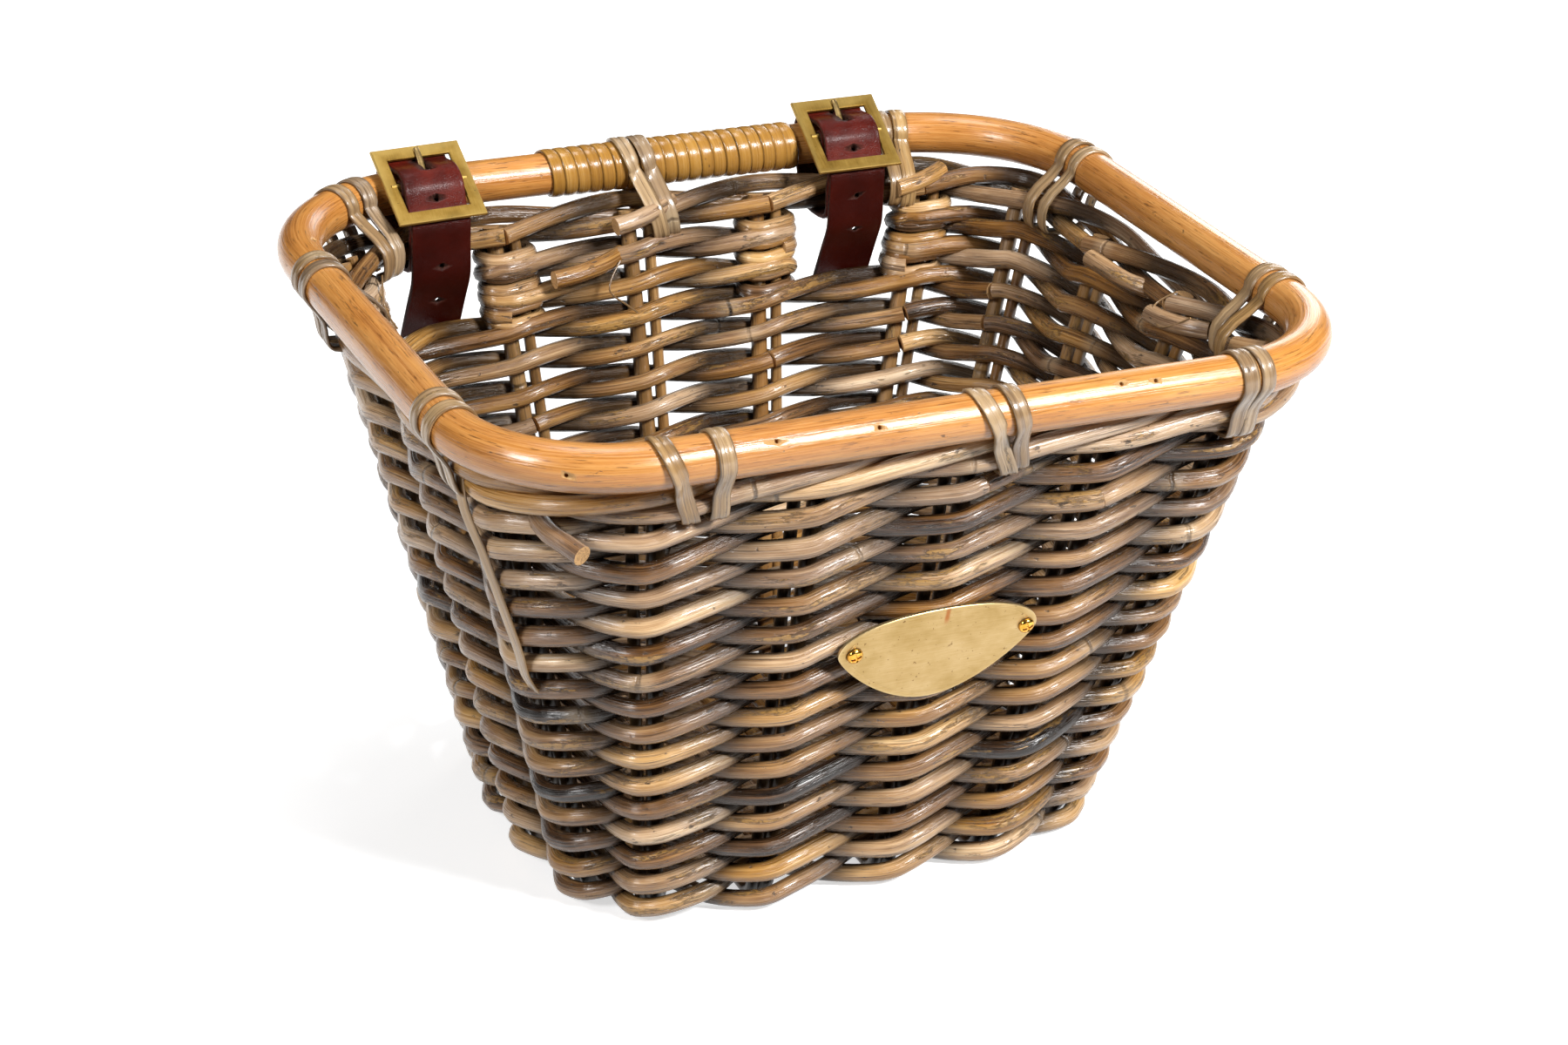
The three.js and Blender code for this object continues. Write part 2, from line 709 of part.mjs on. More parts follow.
function addBase() {
  const reach = planOutline(0, stakeInset + legLength + seatGap);
  const stick = new THREE.Shape();
  const edge = stickHeight * stickEdgeShare;
  stick.moveTo(-stickWidth / 2, 0);
  stick.lineTo(stickWidth / 2, 0);
  stick.lineTo(stickWidth / 2, edge);
  stick.absellipse(0, edge, stickWidth / 2, stickHeight - edge, 0, Math.PI);
  const stickLength = 2 * (reach.halfWidth - seatGap);
  for (let index = -1; index <= 1; index += 1) {
    const geometry = new THREE.ExtrudeGeometry(stick, {
      depth: stickLength, curveSegments: 5, bevelEnabled: false,
    });
    geometry.translate(0, 0, -stickLength / 2);
    geometry.rotateX(Math.PI / 2);
    geometry.rotateZ(Math.PI / 2);
    geometry.translate(0, index * stickSpacing, 0);
    addPiece(`base_stick_${index + 2}`, geometry, "stake");
  }
  const insideWeave = passOffset(0, 0, -1, rodDiameter) + rodDiameter / 2 + seatGap;
  const plan = planOutline(0, stakeInset + insideWeave + matEdgeGap);
  const bottom = stickHeight + seatGap;
  const rods = Math.ceil((2 * plan.halfWidth) / matRodPitch);
  const crest = [];
  for (let half = 0; half <= 2 * rods; half += 1) {
    const x = (half / 2 - rods / 2) * matRodPitch;
    crest.push([x, half % 2 === 0 ? matRidge : 0]);
  }
  const profile = new THREE.Shape();
  crest.forEach(([x, dip], index) => {
    const move = index === 0 ? "moveTo" : "lineTo";
    profile[move](x, bottom + matThickness - dip);
  });
  [...crest].reverse().forEach(([x, dip]) => profile.lineTo(x, bottom + dip));
  const rodsGeometry = new THREE.ExtrudeGeometry(profile, {
    depth: 2 * plan.halfDepth + 2 * overrun, bevelEnabled: false,
  });
  rodsGeometry.rotateX(Math.PI / 2);
  rodsGeometry.translate(0, plan.halfDepth + overrun, 0);
  const outline = new THREE.Shape();
  const quarter = Math.PI / 2;
  outline.absarc(plan.halfWidth - plan.back, plan.halfDepth - plan.back, plan.back, 0, quarter);
  outline.absarc(plan.back - plan.halfWidth, plan.halfDepth - plan.back, plan.back, quarter, 2 * quarter);
  outline.absarc(
    plan.front - plan.halfWidth, plan.front - plan.halfDepth, plan.front, 2 * quarter, 3 * quarter,
  );
  outline.absarc(
    plan.halfWidth - plan.front, plan.front - plan.halfDepth, plan.front, 3 * quarter, 4 * quarter,
  );
  const block = new THREE.ExtrudeGeometry(outline, {
    depth: matThickness + 2 * overrun, curveSegments: 6, bevelEnabled: false,
  });
  block.translate(0, 0, bottom - overrun);
  addPiece("base_mat", toGeometry(toSolid(rodsGeometry).intersect(toSolid(block))), "rod");
}

// Straps, buckles and prongs, each in a frame on the rim's centre line: X across the strap,
// Y out of the basket. The buckle's own frame is tilted and raised in it.

const windowHalf = strapWidth / 2 + buckleSideGap;
const barMiddle = windowHalf + buckleBar / 2;
const underBar = -(buckleThickness / 2 + buckleRockGap + strapThickness / 2);
const foldRadius = centreBar / 2 + seatGap + foldThickness / 2;
const archTop = foldRadius + foldThickness / 2 + seatGap + strapThickness / 2;

function fromBuckle(x, outwards, upwards) {
  const point = new THREE.Vector3(x, outwards, upwards).applyAxisAngle(acrossX, radians(buckleTilt));
  return point.add(new THREE.Vector3(0, -buckleInset, buckleRise));
}

function strapPath(holeDrops) {
  const column = rightSlotColumn;
  const half = strapThickness / 2;
  const borderSwing = passOffset(column, borderHeight, -1, borderDiameter) * strapSwingShare;
  const borderReach = passOffset(column, borderHeight, 1, borderDiameter);
  const fixedIn = -(stakeInset + borderSwing + borderDiameter / 2 + seatGap + half);
  const tailIn = fixedIn - strapThickness - strapLayerGap;
  const outside = -stakeInset + borderReach + borderDiameter / 2 + strapLayerGap + half;
  const loopBottom = borderHeight - borderLift - borderDiameter / 2 - strapLayerGap - half - rimHeight;
  const sill = rowHeight(fullRows - 1) + crossingHigh + rodDiameter / 2 + strapLayerGap + half - rimHeight;
  const corner = strapThickness * strapCornerShare;
  const flare = wallFlare / wallHeight;
  const wallAt = (height) => (height + rimHeight - wallHeight) * flare;
  const rimLoop = rimDiameter / 2 + strapLoopGap + half;
  const places = [];
  const tailTurn = loopBottom - corner;
  const tailEnd = sill - strapTail;
  const tailOut = wallAt(tailEnd) + half + strapLayerGap;
  const holes = holeDrops.map((drop) => {
    const leaning = Math.max(tailTurn + drop, 0) / (tailTurn - tailEnd);
    return { point: new THREE.Vector3(0, THREE.MathUtils.lerp(tailIn, tailOut, leaning), -drop), turn: 0 };
  });
  const add = (y, z, thickness = strapThickness) => {
    places.push({ point: new THREE.Vector3(0, y, z), thickness });
  };
  const addTilted = (outwards, upwards, thickness = strapThickness) => {
    places.push({ point: fromBuckle(0, outwards, upwards), thickness });
  };
  const level = (share) => THREE.MathUtils.lerp(underBar, archTop, share);
  // The free tail: outside the slot, leaning in over its sill, up the inside and through the buckle
  add(tailOut, tailEnd);
  add(tailIn, tailTurn);
  add(tailIn, loopBottom + 3 * corner);
  archShares.forEach(([outwards, height], index) => {
    addTilted(outwards * barMiddle, level(height));
    if (index === archHole) {
      const { point } = places[places.length - 1];
      holes.push({ point, turn: Math.PI / 2 + radians(buckleTilt) });
    }
  });
  // Over the rim, down the outside and back in under the border
  rimLoopShares.forEach(([angle, swell]) => {
    const turn = angle * Math.PI;
    add(rimLoop * swell * Math.cos(turn), rimLoop * swell * Math.sin(turn));
  });
  add(outside, loopBottom + 3 * corner);
  add(outside, loopBottom + corner);
  add(outside - corner, loopBottom);
  add(fixedIn + corner, loopBottom);
  add(fixedIn, loopBottom + corner);
  add(fixedIn, loopBottom + 5 * corner);
  // Under the tail to the centre bar, where the skived end hooks round it
  const fixedUnder = underBar - strapThickness - strapLayerGap;
  underTailShares.forEach((share) => addTilted(-barMiddle * share, fixedUnder));
  const [hookOut, hookDrop] = hookStartShares;
  addTilted(-foldRadius * hookOut, -foldRadius * hookDrop, (strapThickness + foldThickness) / 2);
  hookShares.forEach((angle) => {
    const turn = angle * Math.PI;
    addTilted(foldRadius * Math.cos(turn), foldRadius * Math.sin(turn), foldThickness);
  });
  return { places, holes };
}

function cutter(geometry) {
  geometry.rotateX(radians(buckleTilt));
  const place = fromBuckle(0, 0, 0);
  return toSolid(geometry.translate(place.x, place.y, place.z));
}

function strapGeometry(holeDrops) {
  const { places, holes } = strapPath(holeDrops);
  const section = (index) => flatSection(places[index].thickness, strapWidth);
  const path = places.map(({ point }) => point);
  let strap = toSolid(sweep(path, section, { rise: () => acrossX }));
  // The slot that the prong comes up through, widening away from the centre bar
  const wedge = new THREE.Shape();
  prongSlotShares.forEach(([outwards, upwards], index) => {
    wedge[index === 0 ? "moveTo" : "lineTo"](outwards * prongReach, upwards * prongReach);
  });
  const slot = new THREE.ExtrudeGeometry(wedge, { depth: prongSlotWidth, bevelEnabled: false });
  slot.translate(0, 0, -prongSlotWidth / 2);
  slot.rotateY(Math.PI / 2);
  slot.rotateX(Math.PI / 2);
  strap = strap.subtract(cutter(slot));
  // The folded end is split round the prong's eye
  const split = foldRadius + foldThickness / 2 + seatGap / 3;
  const eye = new THREE.CylinderGeometry(split, split, prongSlotWidth, 12);
  strap = strap.subtract(cutter(eye.rotateZ(Math.PI / 2)));
  holes.forEach(({ point, turn }) => {
    const length = strapThickness + strapLayerGap;
    const punch = new THREE.CylinderGeometry(strapHole / 2, strapHole / 2, length, 8);
    punch.rotateX(turn).translate(point.x, point.y, point.z);
    strap = strap.subtract(toSolid(punch));
  });
  return toGeometry(strap);
}

// A square frame with a round bar across its middle and a notch for the prong's tip
function buckleGeometry() {
  const outer = windowHalf + buckleBar - buckleBevel;
  const inner = windowHalf + buckleBevel;
  const frame = new THREE.Shape();
  frame.moveTo(-outer, -outer);
  frame.lineTo(outer, -outer);
  frame.lineTo(outer, outer);
  frame.lineTo(-outer, outer);
  const opening = new THREE.Path();
  opening.moveTo(-inner, -inner);
  opening.lineTo(-inner, inner);
  opening.lineTo(inner, inner);
  opening.lineTo(inner, -inner);
  frame.holes.push(opening);
  const plate = new THREE.ExtrudeGeometry(frame, {
    depth: buckleThickness - 2 * buckleBevel,
    bevelThickness: buckleBevel,
    bevelSize: buckleBevel,
    bevelSegments: 1,
  });
  plate.translate(0, 0, buckleBevel - buckleThickness / 2);
  const bar = new THREE.CylinderGeometry(centreBar / 2, centreBar / 2, 2 * windowHalf + buckleBar, 12);
  bar.rotateZ(Math.PI / 2);
  const notch = new THREE.BoxGeometry(notchWidth, buckleBar + 2 * overrun, 2 * notchDepth);
  notch.translate(0, barMiddle, buckleThickness / 2);
  return toGeometry(toSolid(plate).add(toSolid(bar)).subtract(toSolid(notch)));
}

// An eye round the centre bar and a flat tongue that lies in the notch
function prongGeometry() {
  const eye = new THREE.Shape();
  eye.absarc(0, 0, prongEye / 2, 0, 2 * Math.PI);
  const bore = new THREE.Path();
  bore.absarc(0, 0, centreBar / 2 + prongClearance, 0, 2 * Math.PI, true);
  eye.holes.push(bore);
  const ring = new THREE.ExtrudeGeometry(eye, {
    depth: prongWidth, curveSegments: 6, bevelEnabled: false,
  });
  const tongue = new THREE.Shape();
  const top = prongTipHeight + prongThickness / 2;
  const root = centreBar / 2 + prongClearance + (prongEye - centreBar) / 4;
  tongue.moveTo(root, -prongThickness / 2);
  tongue.lineTo(prongReach, top - prongThickness);
  tongue.lineTo(prongReach, top - prongThickness / 3);
  tongue.lineTo(prongReach - prongThickness, top);
  tongue.lineTo(root, prongThickness / 2);
  const blade = new THREE.ExtrudeGeometry(tongue, { depth: prongWidth, bevelEnabled: false });
  const prong = toSolid(ring).add(toSolid(blade));
  const geometry = toGeometry(prong);
  geometry.translate(0, 0, -prongWidth / 2);
  geometry.rotateX(Math.PI / 2);
  geometry.rotateZ(Math.PI / 2);
  return geometry;
}

function addStrap(side, x, inset, turn) {
  const place = new THREE.Group();
  place.position.set(x, rimHalfDepth - inset, rimHeight);
  place.rotation.z = radians(turn);
  basket.add(place);
  addPiece(`strap_${side}`, strapGeometry(strapHoleDrops[side]), "leather", place);
  const buckle = new THREE.Group();
  buckle.position.copy(fromBuckle(0, 0, 0));
  buckle.rotation.x = radians(buckleTilt);
  place.add(buckle);
  addPiece(`buckle_frame_${side}`, buckleGeometry(), "brass", buckle);
  addPiece(`buckle_prong_${side}`, prongGeometry(), "brass", buckle);
}

// Plate

function addPlate() {
  const tilt = Math.atan(wallFlare / wallHeight);
  const back = passOffset(0, plateHeight, 1, rodDiameter) + rodDiameter / 2 + seatGap + plateBackGap;
  const place = new THREE.Group();
  const wall = wallPoint(0, plateHeight).middle;
  place.position.set(plateX, wall.y - back, plateHeight);
  place.rotation.x = Math.PI / 2 + tilt;
  basket.add(place);
  const outline = new THREE.Shape();
  const half = plateHalfLength;
  outline.moveTo(-half, 0);
  outline.bezierCurveTo(-half, -plateLowerTip, -half * plateLowerShare, -plateDrop, 0, -plateDrop);
  outline.bezierCurveTo(half * plateLowerShare, -plateDrop, half, -plateLowerTip, half, 0);
  outline.bezierCurveTo(half, plateUpperTip, half * plateUpperShare, plateRise, 0, plateRise);
  outline.bezierCurveTo(-half * plateUpperShare, plateRise, -half, plateUpperTip, -half, 0);
  const sheet = new THREE.ExtrudeGeometry(outline, {
    depth: plateThickness, curveSegments: 7, bevelEnabled: false,
  });
  const holeRadius = screwShank / 2 + screwHoleGap;
  const screwPlaces = [-screwSpacing / 2, screwSpacing / 2].map((x) => x + screwMiddle);
  const drilled = screwPlaces.reduce((plate, x) => {
    const drill = new THREE.CylinderGeometry(holeRadius, holeRadius, plateThickness + 2 * overrun, 12);
    drill.rotateX(Math.PI / 2);
    drill.translate(x, 0, plateThickness / 2);
    return plate.subtract(toSolid(drill));
  }, toSolid(sheet));
  addPiece("name_plate", toGeometry(drilled), "brass", place);
  screwPlaces.forEach((x, index) => {
    const screw = addPiece(`plate_screw_${index + 1}`, screwGeometry(), "brass", place);
    screw.position.set(x, 0, plateThickness + seatGap);
  });
}

// A round-head screw with a crossed slot, its shank along -Z
function screwGeometry() {
  const head = screwHead / 2;
  const profile = [
    new THREE.Vector2(0, -screwLength),
    new THREE.Vector2(screwShank / 2, -screwLength),
    new THREE.Vector2(screwShank / 2, 0),
    new THREE.Vector2(head, 0),
  ];
  for (let step = 1; step <= 3; step += 1) {
    const angle = (Math.PI / 2) * (step / 3);
    profile.push(new THREE.Vector2(step === 3 ? 0 : head * Math.cos(angle), screwHeadHeight * Math.sin(angle)));
  }
  const body = new THREE.LatheGeometry(profile, 16);
  body.rotateX(Math.PI / 2);
  const slots = [0, Math.PI / 2].map((angle) => {
    const slot = new THREE.BoxGeometry(screwHead * screwSlotShare, screwSlot, 2 * screwSlotDepth);
    slot.rotateZ(angle);
    slot.translate(0, 0, screwHeadHeight);
    return toSolid(slot);
  });
  return toGeometry(toSolid(body).subtract(slots[0]).subtract(slots[1]));
}

addRim();
addWinding();
lashings.forEach(addLashing);
addBorder();
for (let column = 0; column < stakes; column += 1) {
  addPiece(`stake_pair_${String(column + 1).padStart(2, "0")}`, stakePair(column), "stake");
}
addStrand(0, "a");
addStrand(1, "b");
for (let row = fullRows; row < fullRows + panelRows; row += 1) {
  const foldAtFirst = row % 2 === 1;
  const level = row === fullRows ? "lower" : "upper";
  panelRow(`panel_row_${level}`, row, leftSlotColumn + 1, rightSlotColumn + stakes, foldAtFirst);
  panelRow(`back_row_${level}`, row, rightSlotColumn + 1, leftSlotColumn, foldAtFirst);
}
addBase();
addStrap("right", strapRightX, 0, 0);
addStrap("left", strapLeftX, strapLeftInset, strapLeftTurn);
addPlate();

export default basket;
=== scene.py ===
import bpy
import bmesh
import math
import random
from mathutils import Vector, Matrix


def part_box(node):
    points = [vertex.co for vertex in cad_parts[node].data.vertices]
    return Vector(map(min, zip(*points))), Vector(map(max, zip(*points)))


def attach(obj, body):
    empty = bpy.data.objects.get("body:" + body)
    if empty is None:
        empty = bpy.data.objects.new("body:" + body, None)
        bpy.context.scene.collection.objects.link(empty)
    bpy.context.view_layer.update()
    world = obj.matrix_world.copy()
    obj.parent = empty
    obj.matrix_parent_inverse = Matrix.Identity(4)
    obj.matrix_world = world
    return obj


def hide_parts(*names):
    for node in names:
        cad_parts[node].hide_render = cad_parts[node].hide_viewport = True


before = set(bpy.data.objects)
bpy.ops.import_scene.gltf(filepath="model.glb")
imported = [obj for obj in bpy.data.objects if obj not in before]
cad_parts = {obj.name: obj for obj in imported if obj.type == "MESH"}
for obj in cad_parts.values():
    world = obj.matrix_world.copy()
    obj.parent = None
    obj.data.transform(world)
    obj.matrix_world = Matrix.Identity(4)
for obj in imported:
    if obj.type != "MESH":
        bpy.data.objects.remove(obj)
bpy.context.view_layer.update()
scene = bpy.context.scene
mm = 0.001
up = Vector((0, 0, 1))
print("frame loaded")


# ---- nodes

def colour(hexText):
    # sRGB hex to the linear values that the sockets take
    parts = [int(hexText[i:i + 2], 16) / 255 for i in (0, 2, 4)]
    return (*(c / 12.92 if c < 0.04045 else ((c + 0.055) / 1.055) ** 2.4 for c in parts), 1.0)


def stops(places, hexTexts):
    return [(place, colour(text)) for place, text in zip(places, hexTexts.split())]


class Sock:
    # one output, so that a sum on values reads as a sum
    def __init__(self, kit, socket):
        self.kit, self.socket = kit, socket

    def __getitem__(self, key):
        # another output of the same node
        return Sock(self.kit, self.socket.node.outputs[key])

    def maths(self, operation, *terms):
        return self.kit.add("ShaderNodeMath", {"operation": operation}, dict(enumerate(terms)))

    def __add__(self, other): return self.maths("ADD", self, other)
    def __radd__(self, other): return self.maths("ADD", other, self)
    def __sub__(self, other): return self.maths("SUBTRACT", self, other)
    def __rsub__(self, other): return self.maths("SUBTRACT", other, self)
    def __mul__(self, other): return self.maths("MULTIPLY", self, other)
    def __rmul__(self, other): return self.maths("MULTIPLY", other, self)
    def __pow__(self, other): return self.maths("POWER", self, other)
    def __abs__(self): return self.maths("ABSOLUTE", self)


class Kit:
    # add makes every node and gives its first output
    def __init__(self, tree):
        self.tree = tree

    def add(self, kind, settings=None, inputs=None):
        node = self.tree.nodes.new(kind)
        for key, value in (settings or {}).items():
            setattr(node, key, value)
        for key, value in (inputs or {}).items():
            self.put(node.inputs[key], value)
        return Sock(self, node.outputs[0])

    def put(self, target, value):
        if isinstance(value, Sock):
            self.tree.links.new(value.socket, target)
        else:
            target.default_value = value


class Finish(Kit):
    # a material with one Principled shader, and the slot of the pieces that wear it
    def __init__(self, name, slot, constants):
        self.slot = slot
        self.material = bpy.data.materials.new(name)
        self.material.use_nodes = True
        super().__init__(self.material.node_tree)
        self.shader = self.tree.nodes["Principled BSDF"]
        for key, value in constants.items():
            self.feed(key, value)

    def feed(self, key, value):
        self.put(self.shader.inputs[key], value)

    def attribute(self, name):
        return self.add("ShaderNodeAttribute", {"attribute_name": name})

    def stretch(self, vector, scale, shift=(0, 0, 0)):
        return self.add("ShaderNodeMapping", {}, {"Vector": vector, "Scale": scale, "Location": shift})

    def noise(self, vector, scale=1.0, detail=3.0, rough=0.55):
        return self.add("ShaderNodeTexNoise", {}, {
            "Vector": vector, "Scale": scale, "Detail": detail, "Roughness": rough})

    def swing(self, vector, detail=2.0, rough=0.5):
        # noise spread over -0.5 to 0.5
        return self.add("ShaderNodeMapRange", {"clamp": False}, {
            "Value": self.noise(vector, 1.0, detail, rough),
            "From Min": 0.34, "From Max": 0.66, "To Min": -0.5, "To Max": 0.5})

    def limits(self, value, low, high):
        # 0 below low, 1 above high
        return self.add("ShaderNodeMapRange", {"interpolation_type": "SMOOTHSTEP"}, {
            "Value": value, "From Min": low, "From Max": high})

    def ramp(self, value, tones):
        made = self.add("ShaderNodeValToRGB", {}, {"Fac": value})
        elements = made.socket.node.color_ramp.elements
        while len(elements) < len(tones):
            elements.new(0.5)
        for element, (place, tint) in zip(elements, tones):
            element.position = place
            element.color = tint
        return made

    def blend(self, share, first, second):
        # inputs 6 and 7 and output 2 are the colour ones
        return self.add("ShaderNodeMix", {"data_type": "RGBA"}, {
            "Factor": share, 6: first, 7: second})[2]

    def bump(self, height, strength, distance):
        self.feed("Normal", self.add("ShaderNodeBump", {}, {
            "Height": height, "Strength": strength, "Distance": distance}))


# ---- meshes

def placed(name, mesh, finish=None):
    piece = bpy.data.objects.new(name, mesh)
    scene.collection.objects.link(piece)
    if finish:
        mesh.materials.append(finish.material)
    return piece


def carriedBy(piece, finish, body, *nodes):
    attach(piece, body)
    if nodes:
        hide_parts(*nodes)


def fromWork(name, work, finish=None):
    mesh = bpy.data.meshes.new(name)
    work.to_mesh(mesh)
    work.free()
    return placed(name, mesh, finish)


class Form:
    # gathers swept bodies, with what the finishes read: grain is the place along and round a cane
    # in metres, and tint holds tone, warmth, cut end, and split edge or painted shade
    def __init__(self):
        self.verts, self.faces, self.flat, self.grain, self.tint = [], [], [], [], []

    def vert(self, spot, grain, tint):
        self.verts.append(spot)
        self.grain.append(grain)
        self.tint.append(tint)

    def face(self, corners, flat=False):
        self.faces.append(tuple(corners))
        self.flat.append(flat)

    def skin(self, start, around, rings, closed=False):
        for ring in range(rings if closed else rings - 1):
            here, there = start + ring * around, start + (ring + 1) % rings * around
            for i in range(around):
                j = (i + 1) % around
                self.face((here + i, here + j, there + j, there + i))

    def sweep(self, path, profile, rises=None, closed=False, size=None, tint=(0.5, 0.5), seed=0.0,
              edges=0.0, soil=None):
        count, around, start = len(path), len(profile), len(self.verts)
        widest = max(abs(x) for x, _ in profile)
        split = [edges if abs(x) > 0.9 * widest else 0.0 for x, _ in profile]
        girth = [math.dist(profile[i], profile[(i + 1) % around]) for i in range(around)]
        spread = sum(girth) / (2 * math.pi)
        turns = [sum(girth[:i]) / spread for i in range(around)]
        side, along, rings = None, seed, []
        for index, point in enumerate(path):
            before = path[index - 1] if index or closed else path[0]
            after = path[(index + 1) % count] if index < count - 1 or closed else path[-1]
            ahead = (after - before).normalized()
            if rises:
                side = ahead.cross(rises[index]).normalized()
            elif side is None:
                side = ahead.cross(up).normalized()
            else:
                side = (side - ahead * side.dot(ahead)).normalized()
            top = side.cross(ahead)
            if index:
                along += (point - path[index - 1]).length
            swell = size(index / max(count - 1, 1)) if size else 1.0
            rings.append([point + side * (x * swell) + top * (y * swell) for x, y in profile])
            # the last tint channel holds painted shade where a shade function is given, otherwise the
            # split edge
            for spot, turn, edge in zip(rings[-1], turns, split):
                self.vert(spot, (along, spread * math.cos(turn), spread * math.sin(turn)),
                          (*tint, 0.0, soil(spot) if soil else edge))
        self.skin(start, around, count, closed)
        for ring, step in () if closed else ((rings[0], -1), (rings[-1], 1)):
            # an end has vertices of its own, marked as cut
            low = len(self.verts)
            for spot, (x, y) in zip(ring, profile):
                self.vert(spot, (seed, x, y), (*tint, 1.0, 0.0))
            self.face(range(low, low + around)[::step], flat=True)

    def rod(self, line, radius, sides, dice, tint, **rest):
        # a round rod with a place of its own in the grain
        self.sweep(line, circle(radius * mm, sides), tint=tint, seed=dice.uniform(0, 9), **rest)

    def toPiece(self, name, finish, body, *nodes, cutters=()):
        mesh = bpy.data.meshes.new(name)
        mesh.from_pydata([tuple(v) for v in self.verts], [], self.faces)
        mesh.polygons.foreach_set("use_smooth", [not flat for flat in self.flat])
        for label, kind, key, values in (("grain", "FLOAT_VECTOR", "vector", self.grain),
                                         ("tint", "FLOAT_COLOR", "color", self.tint)):
            layer = mesh.attributes.new(label, kind, "POINT")
            layer.data.foreach_set(key, [c for value in values for c in value])
        mesh.update()
        work = bmesh.new()
        work.from_mesh(mesh)
        bmesh.ops.recalc_face_normals(work, faces=work.faces)
        work.to_mesh(mesh)
        work.free()
        piece = placed(name, mesh, finish)
        if cutters:
            cutWith(piece, cutters)
        carriedBy(piece, finish, body, *nodes)


def rounded(points, parts, closed=False):
    # a smooth line through the points
    out = []
    count = len(points)
    for i in range(count if closed else count - 1):
        a, b, c, d = (points[(i + k) % count if closed else min(max(i + k, 0), count - 1)]
                      for k in (-1, 0, 1, 2))
        ab, bc, cd = (((p - q).length or 1e-6) ** 0.5 for p, q in ((a, b), (b, c), (c, d)))
        m1 = (c - b) + bc * ((b - a) / ab - (c - a) / (ab + bc))
        m2 = (c - b) + bc * ((d - c) / cd - (d - b) / (bc + cd))
        for k in range(parts):
            t = k / parts
            out.append(b * (2 * t ** 3 - 3 * t ** 2 + 1) + m1 * (t ** 3 - 2 * t ** 2 + t)
                       + c * (3 * t ** 2 - 2 * t ** 3) + m2 * (t ** 3 - t ** 2))
    return out if closed else [*out, points[-1]]


def circle(radius, sides, high=None):
    # a second radius makes it an oval
    high = radius if high is None else high
    angles = [2 * math.pi * i / sides for i in range(sides)]
    return [(radius * math.cos(angle), high * math.sin(angle)) for angle in angles]


def crowned(width, thickness, crown, groove=0.0):
    # section of a split peel: flat inside, crowned outside, with a shallow groove along it
    half, steps = width / 2, 8
    top = [(half - width * i / steps, thickness / 2 - crown * (1 - 2 * i / steps) ** 2
            - (groove if i == steps // 2 else 0)) for i in range(steps + 1)]
    section = [(half * 0.94, -thickness / 2), *top, (-half * 0.94, -thickness / 2)]
    return [(x * mm, y * mm) for x, y in section]


def cutWith(piece, cutters):
    for cutter in cutters:
        cut = piece.modifiers.new("cut", "BOOLEAN")
        cut.operation = "DIFFERENCE"
        cut.solver = "EXACT"
        cut.object = cutter
    graph = bpy.context.evaluated_depsgraph_get()
    mesh = bpy.data.meshes.new_from_object(piece.evaluated_get(graph))
    old = piece.data
    piece.modifiers.clear()
    piece.data = mesh
    for cutter in cutters:
        data = cutter.data
        bpy.data.objects.remove(cutter)
        bpy.data.meshes.remove(data)
    bpy.data.meshes.remove(old)


def moved(*spot):
    return Matrix.Translation(Vector(spot) * mm)


def cutterRod(matrix, radius, length, across="Y"):
    work = bmesh.new()
    bmesh.ops.create_cone(work, cap_ends=True, segments=20, radius1=radius * mm, radius2=radius * mm,
                          depth=length * mm)
    turn = {"X": Matrix.Rotation(math.pi / 2, 4, "Y"), "Y": Matrix.Rotation(math.pi / 2, 4, "X"),
            "Z": Matrix.Identity(4)}[across]
    bmesh.ops.transform(work, matrix=matrix @ turn, verts=work.verts)
    return fromWork("cutter", work)


def cutterBox(matrix, sides):
    work = bmesh.new()
    bmesh.ops.create_cube(work, size=1)
    bmesh.ops.scale(work, vec=Vector(sides) * mm, verts=work.verts)
    bmesh.ops.transform(work, matrix=matrix, verts=work.verts)
    return fromWork("cutter", work)


# ---- finishes

